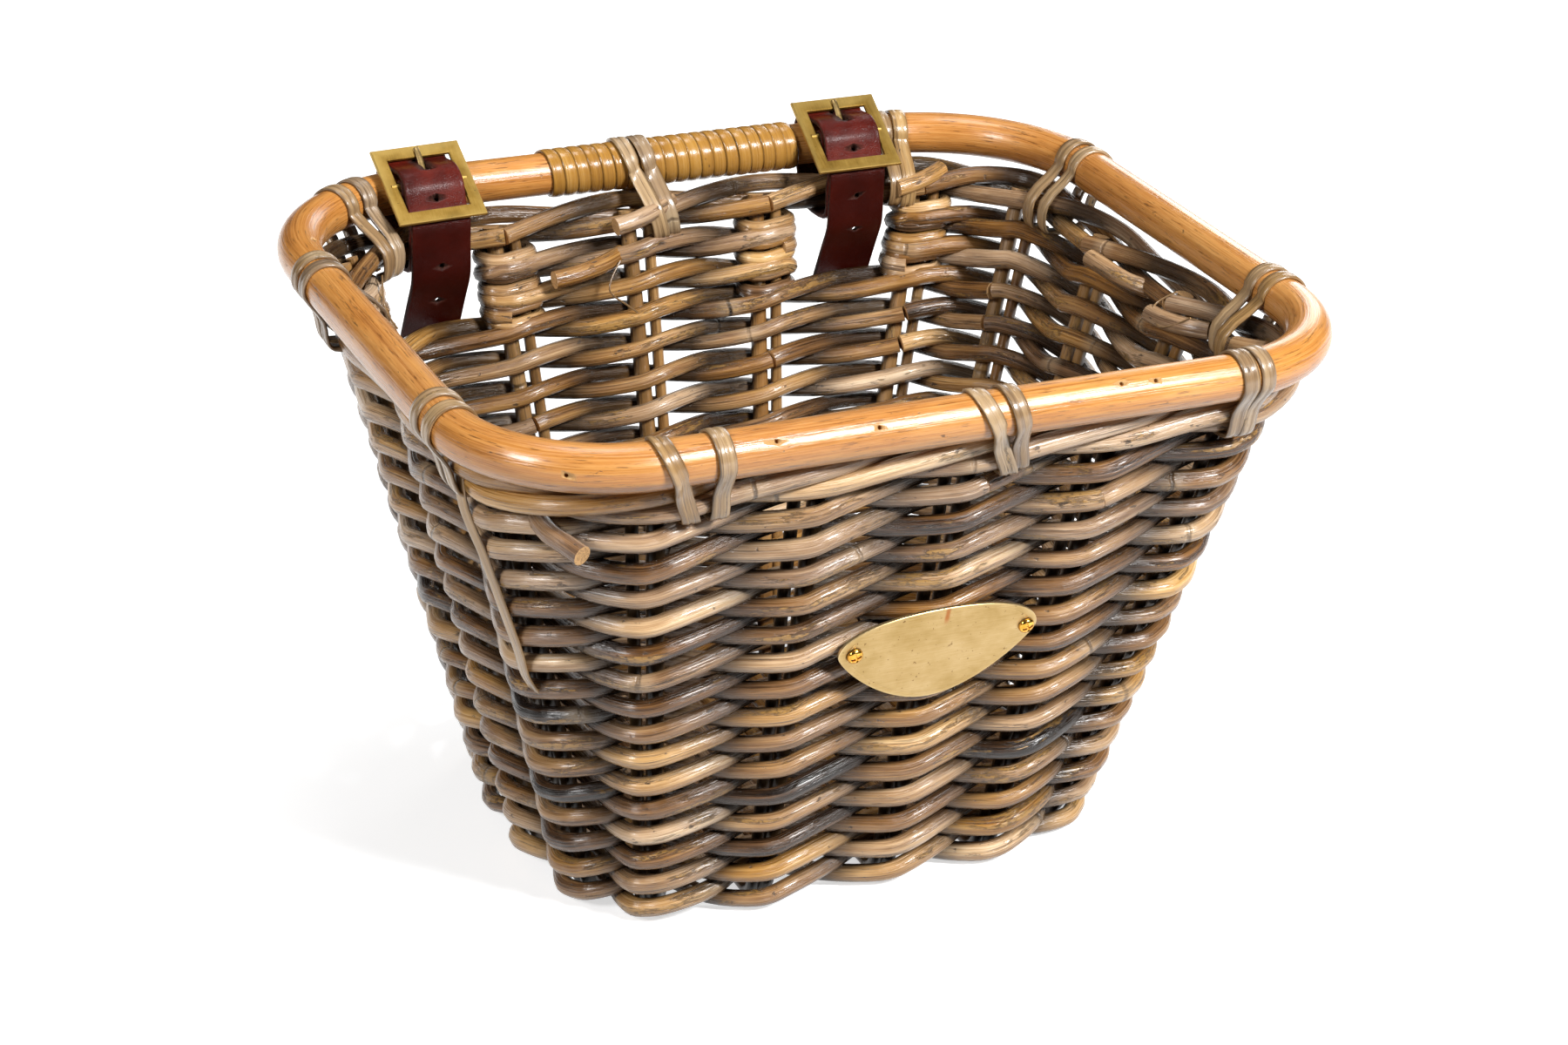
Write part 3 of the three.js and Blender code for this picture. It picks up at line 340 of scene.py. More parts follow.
def caneFinish(name, slot, look):
    # varnished cane: tone and warmth of each rod, long fibres, bark left on, rings at the joints
    look = {"pith": "c39a68", "pores": "76522f", "joint": 9.0, "patchy": False, **look}
    finish = Finish(name, slot, {"IOR": 1.5, "Coat Roughness": look["coatRoughness"]})
    grain = finish.attribute("grain")["Vector"]
    mark = finish.attribute("tint")
    parts = finish.add("ShaderNodeSeparateColor", {}, {"Color": mark["Color"]})
    tone, warmth, cut, split = parts["Red"], parts["Green"], parts["Blue"], mark["Alpha"]
    stain = colour(look["stain"])

    def drawn(along, across, *shift):
        return finish.stretch(grain, (along, across, across), shift or (0, 0, 0))

    fine = finish.swing(drawn(14, 1500), 3, 0.6)
    long = finish.swing(drawn(8, 430, 3, 0, 0))
    cloud = finish.swing(drawn(17, 70, 9, 1, 2), 3)
    slow = finish.swing(drawn(5, 20, 2, 6, 1), 1)
    dash = finish.swing(drawn(95, 1000, 8, 3, 1), 3, 0.65)
    shade = tone + cloud * look["cloud"] + long * look["long"] + (fine + dash * 0.6) * look["fine"]
    warm = warmth + slow * 0.4 + long * 0.25
    base = finish.blend(warm, finish.ramp(shade, look["tones"]), finish.ramp(shade, look["warmTones"]))
    # dark fibres drawn out along the cane
    fibre = finish.noise(drawn(look["fibreRun"], 1150, 5, 5, 5), 1.0, 4, 0.62)
    base = finish.blend(finish.limits(fibre, 0.56, 0.68) * look["fibres"], base, colour(look["fibre"]))
    # bark left on in patches, torn and dark at the edges, with specks in it
    patch = finish.noise(drawn(24, 170, 1, 5, 7), 1.0, 6, 0.7)
    bark = finish.limits(patch, look["barkFrom"], look["barkFrom"] + 0.015)
    torn = finish.limits(patch, look["barkFrom"] - 0.035, look["barkFrom"]) * (1 - bark)
    speck = finish.noise(drawn(420, 620, 7, 2, 4), 1.0, 3, 0.65)
    barkTone = finish.blend(finish.limits(speck, 0.5, 0.62) * 0.75, colour(look["bark"]), stain)
    base = finish.blend(bark * 0.8, base, barkTone)
    base = finish.blend(torn * 0.6, base, stain)
    spots = finish.noise(drawn(150, 330, 4, 4, 4), 1.0, 4, 0.62)
    spotMask = finish.limits(spots, look["spotsFrom"], look["spotsFrom"] + 0.05)
    base = finish.blend(spotMask * 0.75, base, stain)
    # a soft ring where a joint of the cane was trimmed
    along = finish.add("ShaderNodeSeparateXYZ", {}, {"Vector": grain})["X"]
    place = along * (1 / look["joint"]) + cloud * 0.006
    toRing = abs(place.maths("FRACT", place) - 0.5) * look["joint"]
    ring = 1 - finish.limits(toRing, 0.0002, 0.0012)
    halo = 1 - finish.limits(toRing, 0.001, 0.008)
    base = finish.blend(halo * 0.35, base, colour(look["paleFibre"]))
    base = finish.blend(ring * (0.55 + cloud), base, stain)
    # painted shade in the crevices between rods and stakes, and a real dark stain along the edges of a
    # split peel
    edge = split * (finish.limits(patch, 0.36, 0.6) if look["patchy"] else 1.0)
    base = finish.blend(edge * 0.9, base, stain)
    # cut ends show pale pith with dark pores
    pores = finish.noise(drawn(1, 1500), 1.0, 2, 0.5)
    pith = finish.blend(finish.limits(pores, 0.5, 0.66) * 0.6, colour(look["pith"]),
                        colour(look["pores"]))
    finish.feed("Base Color", finish.blend(cut, base, pith))
    worn = spotMask + torn
    finish.feed("Roughness", look["roughness"] + fine * 0.12 + long * 0.06 + cut * 0.35 + worn * 0.2)
    sheen = (1 - cut) * (1 - worn * 0.5) * (1 + cloud * 0.7) * (1 - edge * 0.8)
    finish.feed("Coat Weight", sheen * look["coat"])
    height = fine * 0.35 + dash * 0.3 + long * 0.5 + bark * 0.3 - ring * 1.2 + halo * 0.8 - worn * 0.4
    finish.bump(height, look["bump"], 0.0006)
    return finish


rodFinish = caneFinish("wovenCane", "rod", {
    "tones": stops((0, 0.16, 0.38, 0.62, 0.85, 1), "130b06 3d2a1a 735740 9d7f62 c0a488 d6c0a8"),
    "warmTones": stops((0, 0.18, 0.42, 0.66, 0.88, 1), "170d05 4a2d12 865a26 ac7e40 cda164 e2bc84"),
    "fibre": "2f2016", "paleFibre": "bfa686", "bark": "a07a42", "stain": "20150d",
    "roughness": 0.27, "coat": 0.25, "coatRoughness": 0.13, "bump": 0.7,
    "cloud": 0.3, "long": 0.2, "fine": 0.2, "fibres": 0.7, "fibreRun": 26,
    "barkFrom": 0.595, "spotsFrom": 0.64, "joint": 0.31})
rimFinish = caneFinish("rimCane", "rim", {
    "tones": stops((0, 0.25, 0.5, 0.75, 1), "502a0c 8a5424 b37940 ca955a dfb682"),
    "warmTones": stops((0, 0.25, 0.5, 0.75, 1), "562a09 96581d c17e34 d6984c e8ba76"),
    "fibre": "4c280c", "paleFibre": "e4bd84", "bark": "c08e4e", "stain": "2a1406",
    "pith": "c89a60", "pores": "7d5226",
    "roughness": 0.3, "coat": 0.4, "coatRoughness": 0.16, "bump": 0.3,
    "cloud": 0.16, "long": 0.1, "fine": 0.2, "fibres": 0.7, "fibreRun": 90,
    "barkFrom": 0.7, "spotsFrom": 0.67, "patchy": True})
stakeFinish = caneFinish("stakeCane", "stake", {
    "tones": stops((0, 0.3, 0.6, 1), "21160b 50371d 7d5d35 a8835a"),
    "warmTones": stops((0, 0.3, 0.6, 1), "241507 5a3816 8a6030 b48a52"),
    "fibre": "24160a", "paleFibre": "b08d5c", "bark": "8a6a3a", "stain": "150d06",
    "roughness": 0.36, "coat": 0.4, "coatRoughness": 0.18, "bump": 0.4,
    "cloud": 0.25, "long": 0.15, "fine": 0.1, "fibres": 0.5, "fibreRun": 30,
    "barkFrom": 0.62, "spotsFrom": 0.66, "joint": 0.11})
peelFinish = caneFinish("windingPeel", "peel", {
    "tones": stops((0, 0.3, 0.6, 1), "482a0b 7e5622 a4783a c49c64"),
    "warmTones": stops((0, 0.3, 0.6, 1), "4c2909 875a1d ae7d32 cca45f"),
    "fibre": "6d4214", "paleFibre": "e6c98c", "bark": "cfa45c", "stain": "2c1607",
    "pith": "c89a60", "pores": "7d5226",
    "roughness": 0.26, "coat": 0.34, "coatRoughness": 0.12, "bump": 0.35,
    "cloud": 0.22, "long": 0.1, "fine": 0.08, "fibres": 0.35, "fibreRun": 30,
    "barkFrom": 0.7, "spotsFrom": 0.68, "patchy": True})
lashingFinish = caneFinish("lashingPeel", "lashing", {
    "tones": stops((0, 0.3, 0.6, 1), "2a1f15 5c4835 856e55 b39c80"),
    "warmTones": stops((0, 0.3, 0.6, 1), "33210e 6f5029 9c7745 c8a571"),
    "fibre": "3b2815", "paleFibre": "cdb896", "bark": "ab8a58", "stain": "20140a",
    "roughness": 0.32, "coat": 0.5, "coatRoughness": 0.15, "bump": 0.5,
    "cloud": 0.2, "long": 0.2, "fine": 0.14, "fibres": 0.6, "fibreRun": 24,
    "barkFrom": 0.66, "spotsFrom": 0.69, "joint": 0.5, "patchy": True})


def leatherFinish():
    finish = Finish("strapLeather", "leather", {
        "IOR": 1.45, "Specular IOR Level": 0.2, "Coat Roughness": 0.3, "Coat Weight": 0.04})
    where = finish.add("ShaderNodeTexCoord")["Object"]
    tint = finish.add("ShaderNodeSeparateColor", {}, {"Color": finish.attribute("tint")["Color"]})
    raw = tint["Blue"]      # cut edges and the flesh side
    tailShade = tint["Red"]      # painted shade: the hanging end is darker, as it hangs in shade
    cells = finish.add("ShaderNodeTexVoronoi", {"feature": "DISTANCE_TO_EDGE"}, {
        "Vector": where, "Scale": 1500.0, "Randomness": 1.0})
    pebbles = finish.limits(cells, 0.0, 0.16)
    soft = finish.noise(where, 60.0, 3, 0.6)
    fine = finish.noise(where, 900.0, 2, 0.5)
    base = finish.ramp(soft, stops((0.3, 0.5, 0.72), "360904 511108 6c1e10"))
    base = finish.blend((1 - pebbles) * 0.35, base, colour("200805"))
    # painted shade darkens the hanging end
    base = finish.blend(tailShade * 0.8, base, colour("270401"))
    nap = finish.ramp(fine, stops((0.35, 0.7), "1d0c08 4f2c22"))
    finish.feed("Base Color", finish.blend(raw, base, nap))
    finish.feed("Roughness", 0.34 + (soft - 0.5) * 0.2 + raw * 0.45)
    finish.bump(pebbles * (1 - raw) + fine * (0.3 + raw), 0.28, 0.00035)
    return finish


def brassFinish(name, look):
    finish = Finish(name, "brass", {"IOR": 1.5})
    where = finish.add("ShaderNodeTexCoord")["Object"]
    cloud = finish.noise(where, look["cloudScale"], 4, 0.6)
    brushed = finish.noise(finish.stretch(where, look["brush"]), 1.0, 2, 0.5)
    pits = finish.noise(where, look["pitScale"], 3, 0.6)
    pits = finish.limits(pits, look["pitsFrom"], look["pitsFrom"] + 0.04)
    base = finish.ramp(cloud + (brushed - 0.5) * 0.35, look["tones"])
    base = finish.blend(pits * 0.7, base, colour(look["tarnish"]))
    if "stain" in look:
        # a brown run below the upper edge
        spot = finish.add("ShaderNodeSeparateXYZ", {}, {"Vector": where})
        x, height = look["stain"]
        beside = 1 - finish.limits(abs(spot["X"] - x + (cloud - 0.5) * 0.004), 0.0003, 0.0014)
        run = beside * finish.limits(spot["Z"] + (cloud - 0.5) * 0.006, height - 0.004, height)
        base = finish.blend(run * 0.75, base, colour("9a5220"))
    worn = finish.limits(finish.add("ShaderNodeNewGeometry")["Pointiness"], 0.52, 0.6)
    finish.feed("Base Color", finish.blend(worn * 0.5, base, colour(look["worn"])))
    finish.feed("Metallic", 1 - pits * 0.35)
    finish.feed("Roughness", look["roughness"] + (brushed - 0.5) * 0.22 + pits * 0.25)
    finish.bump(brushed * 0.5 - pits, look["bump"], 0.0002)
    return finish


strapFinish = leatherFinish()
buckleFinish = brassFinish("agedBrass", {
    "tones": stops((0.25, 0.5, 0.8), "7c6029 a5833e c2a258"), "tarnish": "2c1f0c", "worn": "d0b26a",
    "roughness": 0.5, "bump": 0.14, "cloudScale": 90.0, "brush": (2600, 160, 160),
    "pitScale": 700.0, "pitsFrom": 0.68})
plateFinish = brassFinish("plateBrass", {
    "tones": stops((0.25, 0.5, 0.8), "9b7f49 b29766 c6ad82"), "tarnish": "6a4416", "worn": "f0dcae",
    "roughness": 0.42, "bump": 0.08, "cloudScale": 45.0, "brush": (140, 2200, 2200),
    "pitScale": 620.0, "pitsFrom": 0.66, "stain": (0.0093, 0.1335)})
screwFinish = brassFinish("screwBrass", {
    "tones": stops((0.2, 0.5, 0.8), "a8711f cf9a3a e7bd62"), "tarnish": "4c2e0c", "worn": "f2d896",
    "roughness": 0.2, "bump": 0.05, "cloudScale": 220.0, "brush": (900, 900, 900),
    "pitScale": 900.0, "pitsFrom": 0.74})
print("finishes made")


# ---- plan of the wall, in millimetres

wall = {
    "rimHalfWidth": 169, "rimHalfDepth": 142, "rimFrontCorner": 58, "rimBackCorner": 68,
    "footCorner": 61, "height": 205, "flare": 50, "stakeInset": 12.3, "rimHeight": 221,
    "topShares": [0.0098, 0.0648, 0.1168, 0.1679, 0.2199, 0.2847, 0.3436, 0.3878, 0.4575,
                  0.5125, 0.5684, 0.6401, 0.7108, 0.7716, 0.8404, 0.8944, 0.9533],
    "footShares": [0.0166, 0.083, 0.146, 0.196, 0.246, 0.296, 0.346, 0.394, 0.45,
                   0.516, 0.583, 0.655, 0.726, 0.774, 0.832, 0.872, 0.938],
    "pairFoot": 5.1, "pairTop": 9, "thickLead": 3.64,
}
columns = len(wall["topShares"])


def planPoint(height, inset, share):
    # from the middle of the front wall round by the right: the left half is its mirror
    climb = height / wall["height"]
    lean = wall["flare"] * (1 - climb)
    halfWidth = wall["rimHalfWidth"] - lean - inset
    halfDepth = wall["rimHalfDepth"] - lean - inset
    front, back = (wall["footCorner"] + (wall[corner] - wall["footCorner"]) * climb - inset
                   for corner in ("rimFrontCorner", "rimBackCorner"))
    quarter = math.pi / 2
    frontRun, backRun, sideRun = halfWidth - front, halfWidth - back, 2 * halfDepth - front - back
    parts = [(frontRun, 0, -halfDepth, 0, -1), (front, frontRun, front - halfDepth, -quarter),
             (sideRun, halfWidth, front - halfDepth, 1, 0), (back, backRun, halfDepth - back, 0),
             (backRun, backRun, halfDepth, 0, 1)]
    lengths = [part[0] * (quarter if len(part) == 4 else 1) for part in parts]
    share %= 1
    rest = min(share, 1 - share) * 2 * sum(lengths)
    for part, length in zip(parts, lengths):
        if rest <= length or part is parts[-1]:
            break
        rest -= length
    run, x, y, *way = part
    if len(way) == 1:
        angle = way[0] + rest / run
        out = Vector((math.cos(angle), math.sin(angle), 0))
        spot = Vector((x, y, 0)) + out * run
    else:
        out = Vector((*way, 0))
        spot = Vector((x, y, 0)) + up.cross(out) * rest
    if share > 0.5:
        spot.x, out.x = -spot.x, -out.x
    return spot, out


def wallFrame(place, height):
    # the line of the stakes at a place counted in columns
    column = math.floor(place)

    def along(level, key):
        shares = wall[key]
        low, high = (c // columns + shares[c % columns] for c in (column, column + 1))
        return planPoint(level, wall["stakeInset"], low + (high - low) * (place - column))

    foot, footOut = along(0, "footShares")
    top, topOut = along(wall["height"], "topShares")
    climb = height / wall["height"]
    out = (footOut + (topOut - footOut) * climb).normalized()
    middle = foot + (top - foot) * climb
    middle.z = height
    return middle, out, Vector((-out.y, out.x, 0))


def wallSpot(place, height, outwards=0.0, sideways=0.0):
    middle, out, along = wallFrame(place, height)
    return (middle + out * outwards + along * sideways) * mm


def canePair(height):
    # sideways places of the thick and the thin cane of a pair
    spacing = wall["pairFoot"] + (wall["pairTop"] - wall["pairFoot"]) * height / wall["height"]
    thick = (spacing - wall["thickLead"]) / 2
    return thick, thick - spacing


def outwardsOf(spot):
    # how far a spot stands off the line of the stakes, in millimetres
    x, y, z = (c / mm for c in spot)
    lean = wall["flare"] * (1 - z / wall["height"]) + wall["stakeInset"]
    corner = wall["footCorner"] - wall["stakeInset"]
    outX = abs(x) - (wall["rimHalfWidth"] - lean - corner)
    outY = abs(y) - (wall["rimHalfDepth"] - lean - corner)
    return math.hypot(max(outX, 0), max(outY, 0)) + min(max(outX, outY), 0) - corner


# painted shade in the crevices: distances off the line of the stakes, in millimetres, where it starts
# and where it is full, and how much is painted in the foot
soiling = {"rod": (7.4, 2.2), "stake": (-1.2, 1.2), "footHeight": 6, "foot": 0.5}


def soilBetween(clean, dark, distance):
    return min(max((distance - clean) / (dark - clean), 0), 1)


def rodPaintedShade(spot):
    # painted shade: rods are darker where they lie against the stakes and one another
    return soilBetween(*soiling["rod"], abs(outwardsOf(spot)))


def stakePaintedShade(spot):
    # painted shade: stakes are darker on the outside, where the rods cover them, and in the foot
    if spot.z <= soiling["footHeight"] * mm:
        return soiling["foot"]
    return soilBetween(*soiling["stake"], outwardsOf(spot))


# ---- woven rods: levels are above the row, and the dark rods run from pass to pass of each strand

weave = {
    "rows": 13, "firstHeight": 4, "pitch": 12.95, "startColumn": 4, "lengths": 4,
    "crossLow": 1.8, "crossHigh": 7.0, "crossOut": 1.2, "insideLift": 4.2, "footLift": 7.4,
    "outsideLevels": (1.7, 2.4, 3.9), "insideLevels": (3.2, 2.1, 0.6), "bulges": (-0.5, 0.25, -0.5),
    "radius": (3.4, 3.9), "standOff": 7.4, "flatHalf": 6.0, "sides": 10, "parts": 4,
    "rodPasses": (4, 9), "sway": 0.5, "darkRods": [[(77, 83)], [(126, 130)]], "darkTint": (0.08, 0.4),
    "seed": 21,
}
passes = weave["rows"] * columns


def rowHeight(row):
    return weave["firstHeight"] + weave["pitch"] * row


def isOutside(count, strand):
    return (count + strand) % 2 == 0


def crossLevel(outside):
    return weave["crossHigh"] if outside else weave["crossLow"]


def rodTint(dice):
    # most rods are grey to brown, a few are warm or nearly black
    kind = dice.random()
    if kind < 0.06:
        return (dice.uniform(0.18, 0.3), dice.uniform(0.2, 0.8))
    if kind < 0.34:
        return (dice.uniform(0.5, 0.8), dice.uniform(0.6, 1.0))
    if kind < 0.66:
        return (dice.uniform(0.34, 0.58), dice.uniform(0.35, 0.8))
    return (dice.uniform(0.45, 0.8), dice.uniform(0.0, 0.4))


def passSpots(place, height, outside, dice, lift=weave["insideLift"]):
    # three places of a rod as it goes by a pair of stakes
    face = 1 if outside else -1
    levels = weave["outsideLevels"] if outside else [lift + level for level in weave["insideLevels"]]
    if height > weave["pitch"]:
        height += dice.uniform(-1, 1) * weave["sway"]
    stand = weave["standOff"] + dice.uniform(-0.15, 0.3)
    return [wallSpot(place, height + level, face * (stand + bulge), side * weave["flatHalf"])
            for level, bulge, side in zip(levels, weave["bulges"], (-1, 0, 1))]


def rodSize(dice):
    radius = dice.uniform(*weave["radius"])
    shape = [dice.uniform(-0.035, 0.035) for _ in range(4)]
    taper = dice.uniform(-0.05, 0.05)

    def size(share):
        wave = sum(s * math.sin((k + 1) * 2.1 * math.pi * share + k) for k, s in enumerate(shape))
        return 1 + wave + taper * (share - 0.5)
    return radius, size


def rodBreaks(first, last, strand, dark, dice):
    # a rod ends behind the stakes
    breaks = [first]
    while last - breaks[-1] > weave["rodPasses"][1] + 3:
        step = breaks[-1] + dice.randint(*weave["rodPasses"])
        step += isOutside(step, strand)
        for start, end in dark:
            if breaks[-1] == start:
                step = end
            elif breaks[-1] < start < step + 2:
                step = start
        breaks.append(step)
    return [*breaks, last]


def rodSpots(start, end, strand, dice):
    points = []
    for count in range(start, end + 1):
        outside = isOutside(count, strand)
        out = weave["crossOut"] if outside else -weave["crossOut"]
        row, nextRow = (min(c // columns, weave["rows"] - 1) for c in (count, count + 1))
        place, height = count + weave["startColumn"], rowHeight(row)
        lift = weave["insideLift"] if row else weave["footLift"]
        spots = passSpots(place, height, outside, dice, lift)
        if count == start and count:
            spots = spots if outside else spots[1:]
            spots[0] = spots[0].lerp(spots[1], 0.1)
        if count == end and count < passes - 1:
            spots = spots[:2]
            spots[1] = spots[1].lerp(spots[0], 0.05)
        points += spots
        if count == passes - 1:
            # the last rod runs on behind the next stakes
            height += weave["pitch"] / 2 + crossLevel(outside)
            points.append(wallSpot(place + 0.5, height, out))
            points.append(wallSpot(place + 0.85, height + 2, -5 if outside else 5))
        elif count < end:
            between = (height + rowHeight(nextRow)) / 2
            points.append(wallSpot(place + 0.5, between + crossLevel(outside), out))
    return points


def addWeave():
    dice = random.Random(weave["seed"])
    for strand, name in enumerate("ab"):
        cuts = [round(k * passes / weave["lengths"]) for k in range(1, weave["lengths"])]
        cuts = [0, *(cut + isOutside(cut, strand) for cut in cuts), passes - 1]
        for length, (first, last) in enumerate(zip(cuts, cuts[1:])):
            form = Form()
            dark = [rod for rod in weave["darkRods"][strand] if first < rod[0] and rod[1] < last]
            breaks = rodBreaks(first, last, strand, dark, dice)
            for rod in zip(breaks, breaks[1:]):
                points = rodSpots(*rod, strand, dice)
                radius, size = rodSize(dice)
                tint = weave["darkTint"] if rod in dark else rodTint(dice)
                form.rod(rounded(points, weave["parts"]), radius, weave["sides"], dice, tint,
                         size=size, soil=rodPaintedShade)
            label = f"{name}_{length + 1}"
            form.toPiece(f"woven_{label}", rodFinish, "basket", f"weaver_{label}")


addWeave()
print("full rows woven")


# ---- the rows beside the strap slots

panels = {"rows": 2, "settle": 0.3, "wrapLow": -0.8, "wrapHigh": 5.6, "right": 7, "left": 10,
          "reach": {1: 6.9, -1: 5.5}, "swell": 1.08, "seed": 5,
          "wraps": [168.0, 174.8, 181.2, 187.7, 194.2], "wrapRadius": 3.1}


def edgeSpots(place, height, direction, fromOutside, levelFrom, levelTo):
    # half round the outermost cane
    face = 1 if fromOutside else -1
    thick, thin = canePair(height)
    shift, reach = thick if direction > 0 else thin, panels["reach"][direction]
    out = []
    for step in range(5):
        angle = math.pi / 2 - math.pi * step / 4
        level = height + levelFrom + (levelTo - levelFrom) * step / 4
        out.append(wallSpot(place, level, face * reach * math.sin(angle),
                            shift + direction * reach * math.cos(angle)))
    return out


def addPanelRow(node, row, first, last, foldAtFirst):
    dice = random.Random(panels["seed"] + row * 7 + first)
    height = rowHeight(row)
    settle = panels["settle"] * (row - weave["rows"] + 1)

    def wrapLevel(low):
        return panels["wrapLow"] if low else panels["wrapHigh"]

    def turn(count, direction, strand, fold=False):
        outside = isOutside(count - first, strand)
        return edgeSpots(count, height, direction, outside, wrapLevel(outside),
                         wrapLevel(outside != fold))

    strands = []
    for strand in range(2):
        points = []
        for count in range(first, last + 1):
            outside = isOutside(count - first, strand)
            if count in (first, last):
                points.append(wallSpot(count, height + wrapLevel(outside),
                                       weave["standOff"] if outside else -weave["standOff"]))
            else:
                points += passSpots(count, height, outside, dice)
            if count < last:
                points.append(wallSpot(count + 0.5, height - settle + crossLevel(outside)))
        strands.append(points)
    if foldAtFirst:
        worked = [points + turn(last, 1, s) for s, points in enumerate(strands)]
        path = worked[0][::-1] + turn(first, -1, 0, True) + worked[1]
    else:
        worked = [turn(first, -1, s)[::-1] + points for s, points in enumerate(strands)]
        path = worked[0] + turn(last, 1, 0, True) + worked[1][::-1]
    # worked with a few rods joined behind the stakes
    form = Form()
    smooth = rounded(path, weave["parts"])
    parts = 4 if len(path) > 60 else 1
    edges = [weave["parts"] * round(len(path) * k / parts) for k in range(parts)] + [len(smooth) - 1]
    for start, end in zip(edges, edges[1:]):
        radius, size = rodSize(dice)
        form.rod(smooth[start:end + 1], radius * panels["swell"], weave["sides"], dice, rodTint(dice),
                 size=size, soil=rodPaintedShade)
    form.toPiece(node.replace("row", "weave"), rodFinish, "basket", node)


def addEdgeWraps():
    # more turns round the canes beside the slots, between those of the rows
    dice = random.Random(panels["seed"])
    form = Form()
    for place in (panels["right"], panels["right"] + 1, panels["left"], panels["left"] + 1):
        for level in panels["wraps"]:
            level += dice.uniform(-0.4, 0.4)
            loop = edgeSpots(place, level, 1, True, 0, 0)
            loop += edgeSpots(place, level, -1, False, 0.6, 0.6)
            form.rod(rounded(loop, 3, closed=True), panels["wrapRadius"], 10, dice, rodTint(dice),
                     closed=True, soil=rodPaintedShade)
    form.toPiece("edge_wraps", rodFinish, "basket")


addEdgeWraps()
for index, label in enumerate(("lower", "upper")):
    row = weave["rows"] + index
    addPanelRow(f"panel_row_{label}", row, panels["left"] + 1, panels["right"] + columns, row % 2 == 1)
    addPanelRow(f"back_row_{label}", row, panels["right"] + 1, panels["left"], row % 2 == 1)
print("short rows woven")


# ---- stakes and base

stakes = {"canes": [6.8, 4.9], "kneeGap": 0.3, "leg": [20, 9, 3], "lift": 0.4,
          "heights": [50, 105, 160, 205.5], "seed": 3}


def addStakes():
    dice = random.Random(stakes["seed"])
    for column in range(columns):
        form = Form()
        out = wallFrame(column, 0)[1] * mm
        for index, diameter in enumerate(stakes["canes"]):
            knee = diameter / 2 + stakes["kneeGap"]
            heel, *rest = [wallSpot(column, height, 0, canePair(height)[index])
                           for height in (knee, knee + 5, *stakes["heights"])]
            points = [heel - out * run for run in stakes["leg"]]
            points[2] += up * stakes["lift"] * mm
            form.rod(rounded(points + rest, 4), diameter / 2, 12, dice,
                     (dice.uniform(0.3, 0.8), dice.random()), soil=stakePaintedShade)
        number = f"{column + 1:02d}"
        form.toPiece(f"stakes_{number}", stakeFinish, "basket", f"stake_pair_{number}")


base = {"low": 8.5, "thickness": 6, "pitch": 6.7, "radius": 3.05, "halfX": 94.2, "halfY": 67.2,
        "corner": 36, "wave": 0.135, "stickSpacing": 34, "stickHalf": 6.5, "stickHalfHeight": 4.1,
        "stickStops": (-86.1, -60, -30, 0, 30, 60, 86.1), "seed": 8}


def addBase():
    dice = random.Random(base["seed"])
    form = Form()
    count = int(2 * base["halfX"] / base["pitch"])
    height = base["low"] + base["thickness"] / 2
    for i in range(count + 1):
        x = (i - count / 2) * base["pitch"]
        over = max(abs(x) - (base["halfX"] - base["corner"]), 0)
        reach = base["halfY"] - base["corner"] + math.sqrt(max(base["corner"] ** 2 - over ** 2, 0))
        points = []
        for k in range(9):
            y = reach * (k / 4 - 1)
            lift = base["wave"] * math.cos(math.pi * y / base["stickSpacing"]) * (1 if i % 2 else -1)
            points.append(Vector((x + dice.uniform(-0.2, 0.2), y, height + lift)) * mm)
        form.rod(rounded(points, 3), base["radius"], 10, dice, rodTint(dice))
    form.toPiece("base_rods", rodFinish, "basket", "base_mat")
    half, level = base["stickHalf"] * mm, base["stickHalfHeight"] * mm
    # flat below, crowned above
    crown = [(1, -1.2), (0.86, 1.2), (0.5, 3.2)]
    section = [(-half, -level), (half, -level), *((half * x, y * mm) for x, y in crown), (0, level),
               *((-half * x, y * mm) for x, y in reversed(crown))]
    for index in (-1, 0, 1):
        stick = Form()
        path = [Vector((x * mm, base["stickSpacing"] * index * mm, level)) for x in base["stickStops"]]
        stick.sweep(path, section, tint=(0.6, 0.4), seed=index + 2.0)
        stick.toPiece(f"stick_{index + 2}", stakeFinish, "basket", f"base_stick_{index + 2}")


addStakes()
addBase()
print("stakes and base made")


# ---- border of three rods

border = {"radius": 3.8, "height": 203.8, "lift": 3.8, "standOff": 7.5, "cuts": [14, 32, 50],
          "sides": 12, "seed": 12}


def borderSpot(half):
    # each rod goes before two pairs of stakes and behind one
    count = half // 2
    phase = count % 3
    reach, lift = border["standOff"], border["lift"]
    if half % 2 == 0:
        offset, level = ((reach, -lift), (reach, lift), (-reach, 0))[phase]
    else:
        offset, level = ((reach + 0.3, 0), (0, lift), (0, -lift))[phase]
    return wallSpot(count % columns + (half % 2) / 2, border["height"] + level, offset)


def addBorder():
    dice = random.Random(border["seed"])
    cuts = [*border["cuts"], border["cuts"][0] + 3 * columns]
    for index, (first, last) in enumerate(zip(cuts, cuts[1:])):
        form = Form()
        breaks = [first]
        while last - breaks[-1] > 6:
            breaks.append(breaks[-1] + 3 * dice.randint(1, 2))
        breaks.append(last)
        for start, end in zip(breaks, breaks[1:]):
            points = [borderSpot(half) for half in range(2 * start, 2 * end + 1)]
            radius, size = border["radius"] * dice.uniform(0.95, 1.03), rodSize(dice)[1]
            form.rod(rounded(points, 6), radius, border["sides"], dice, rodTint(dice),
                     size=size, soil=rodPaintedShade)
        form.toPiece(f"border_{index + 1}", rodFinish, "basket", f"border_rod_{index + 1}")


addBorder()
print("border made")


# ---- ends of rods left proud, a loose peel and a few fibres; each spot is place, height, outwards

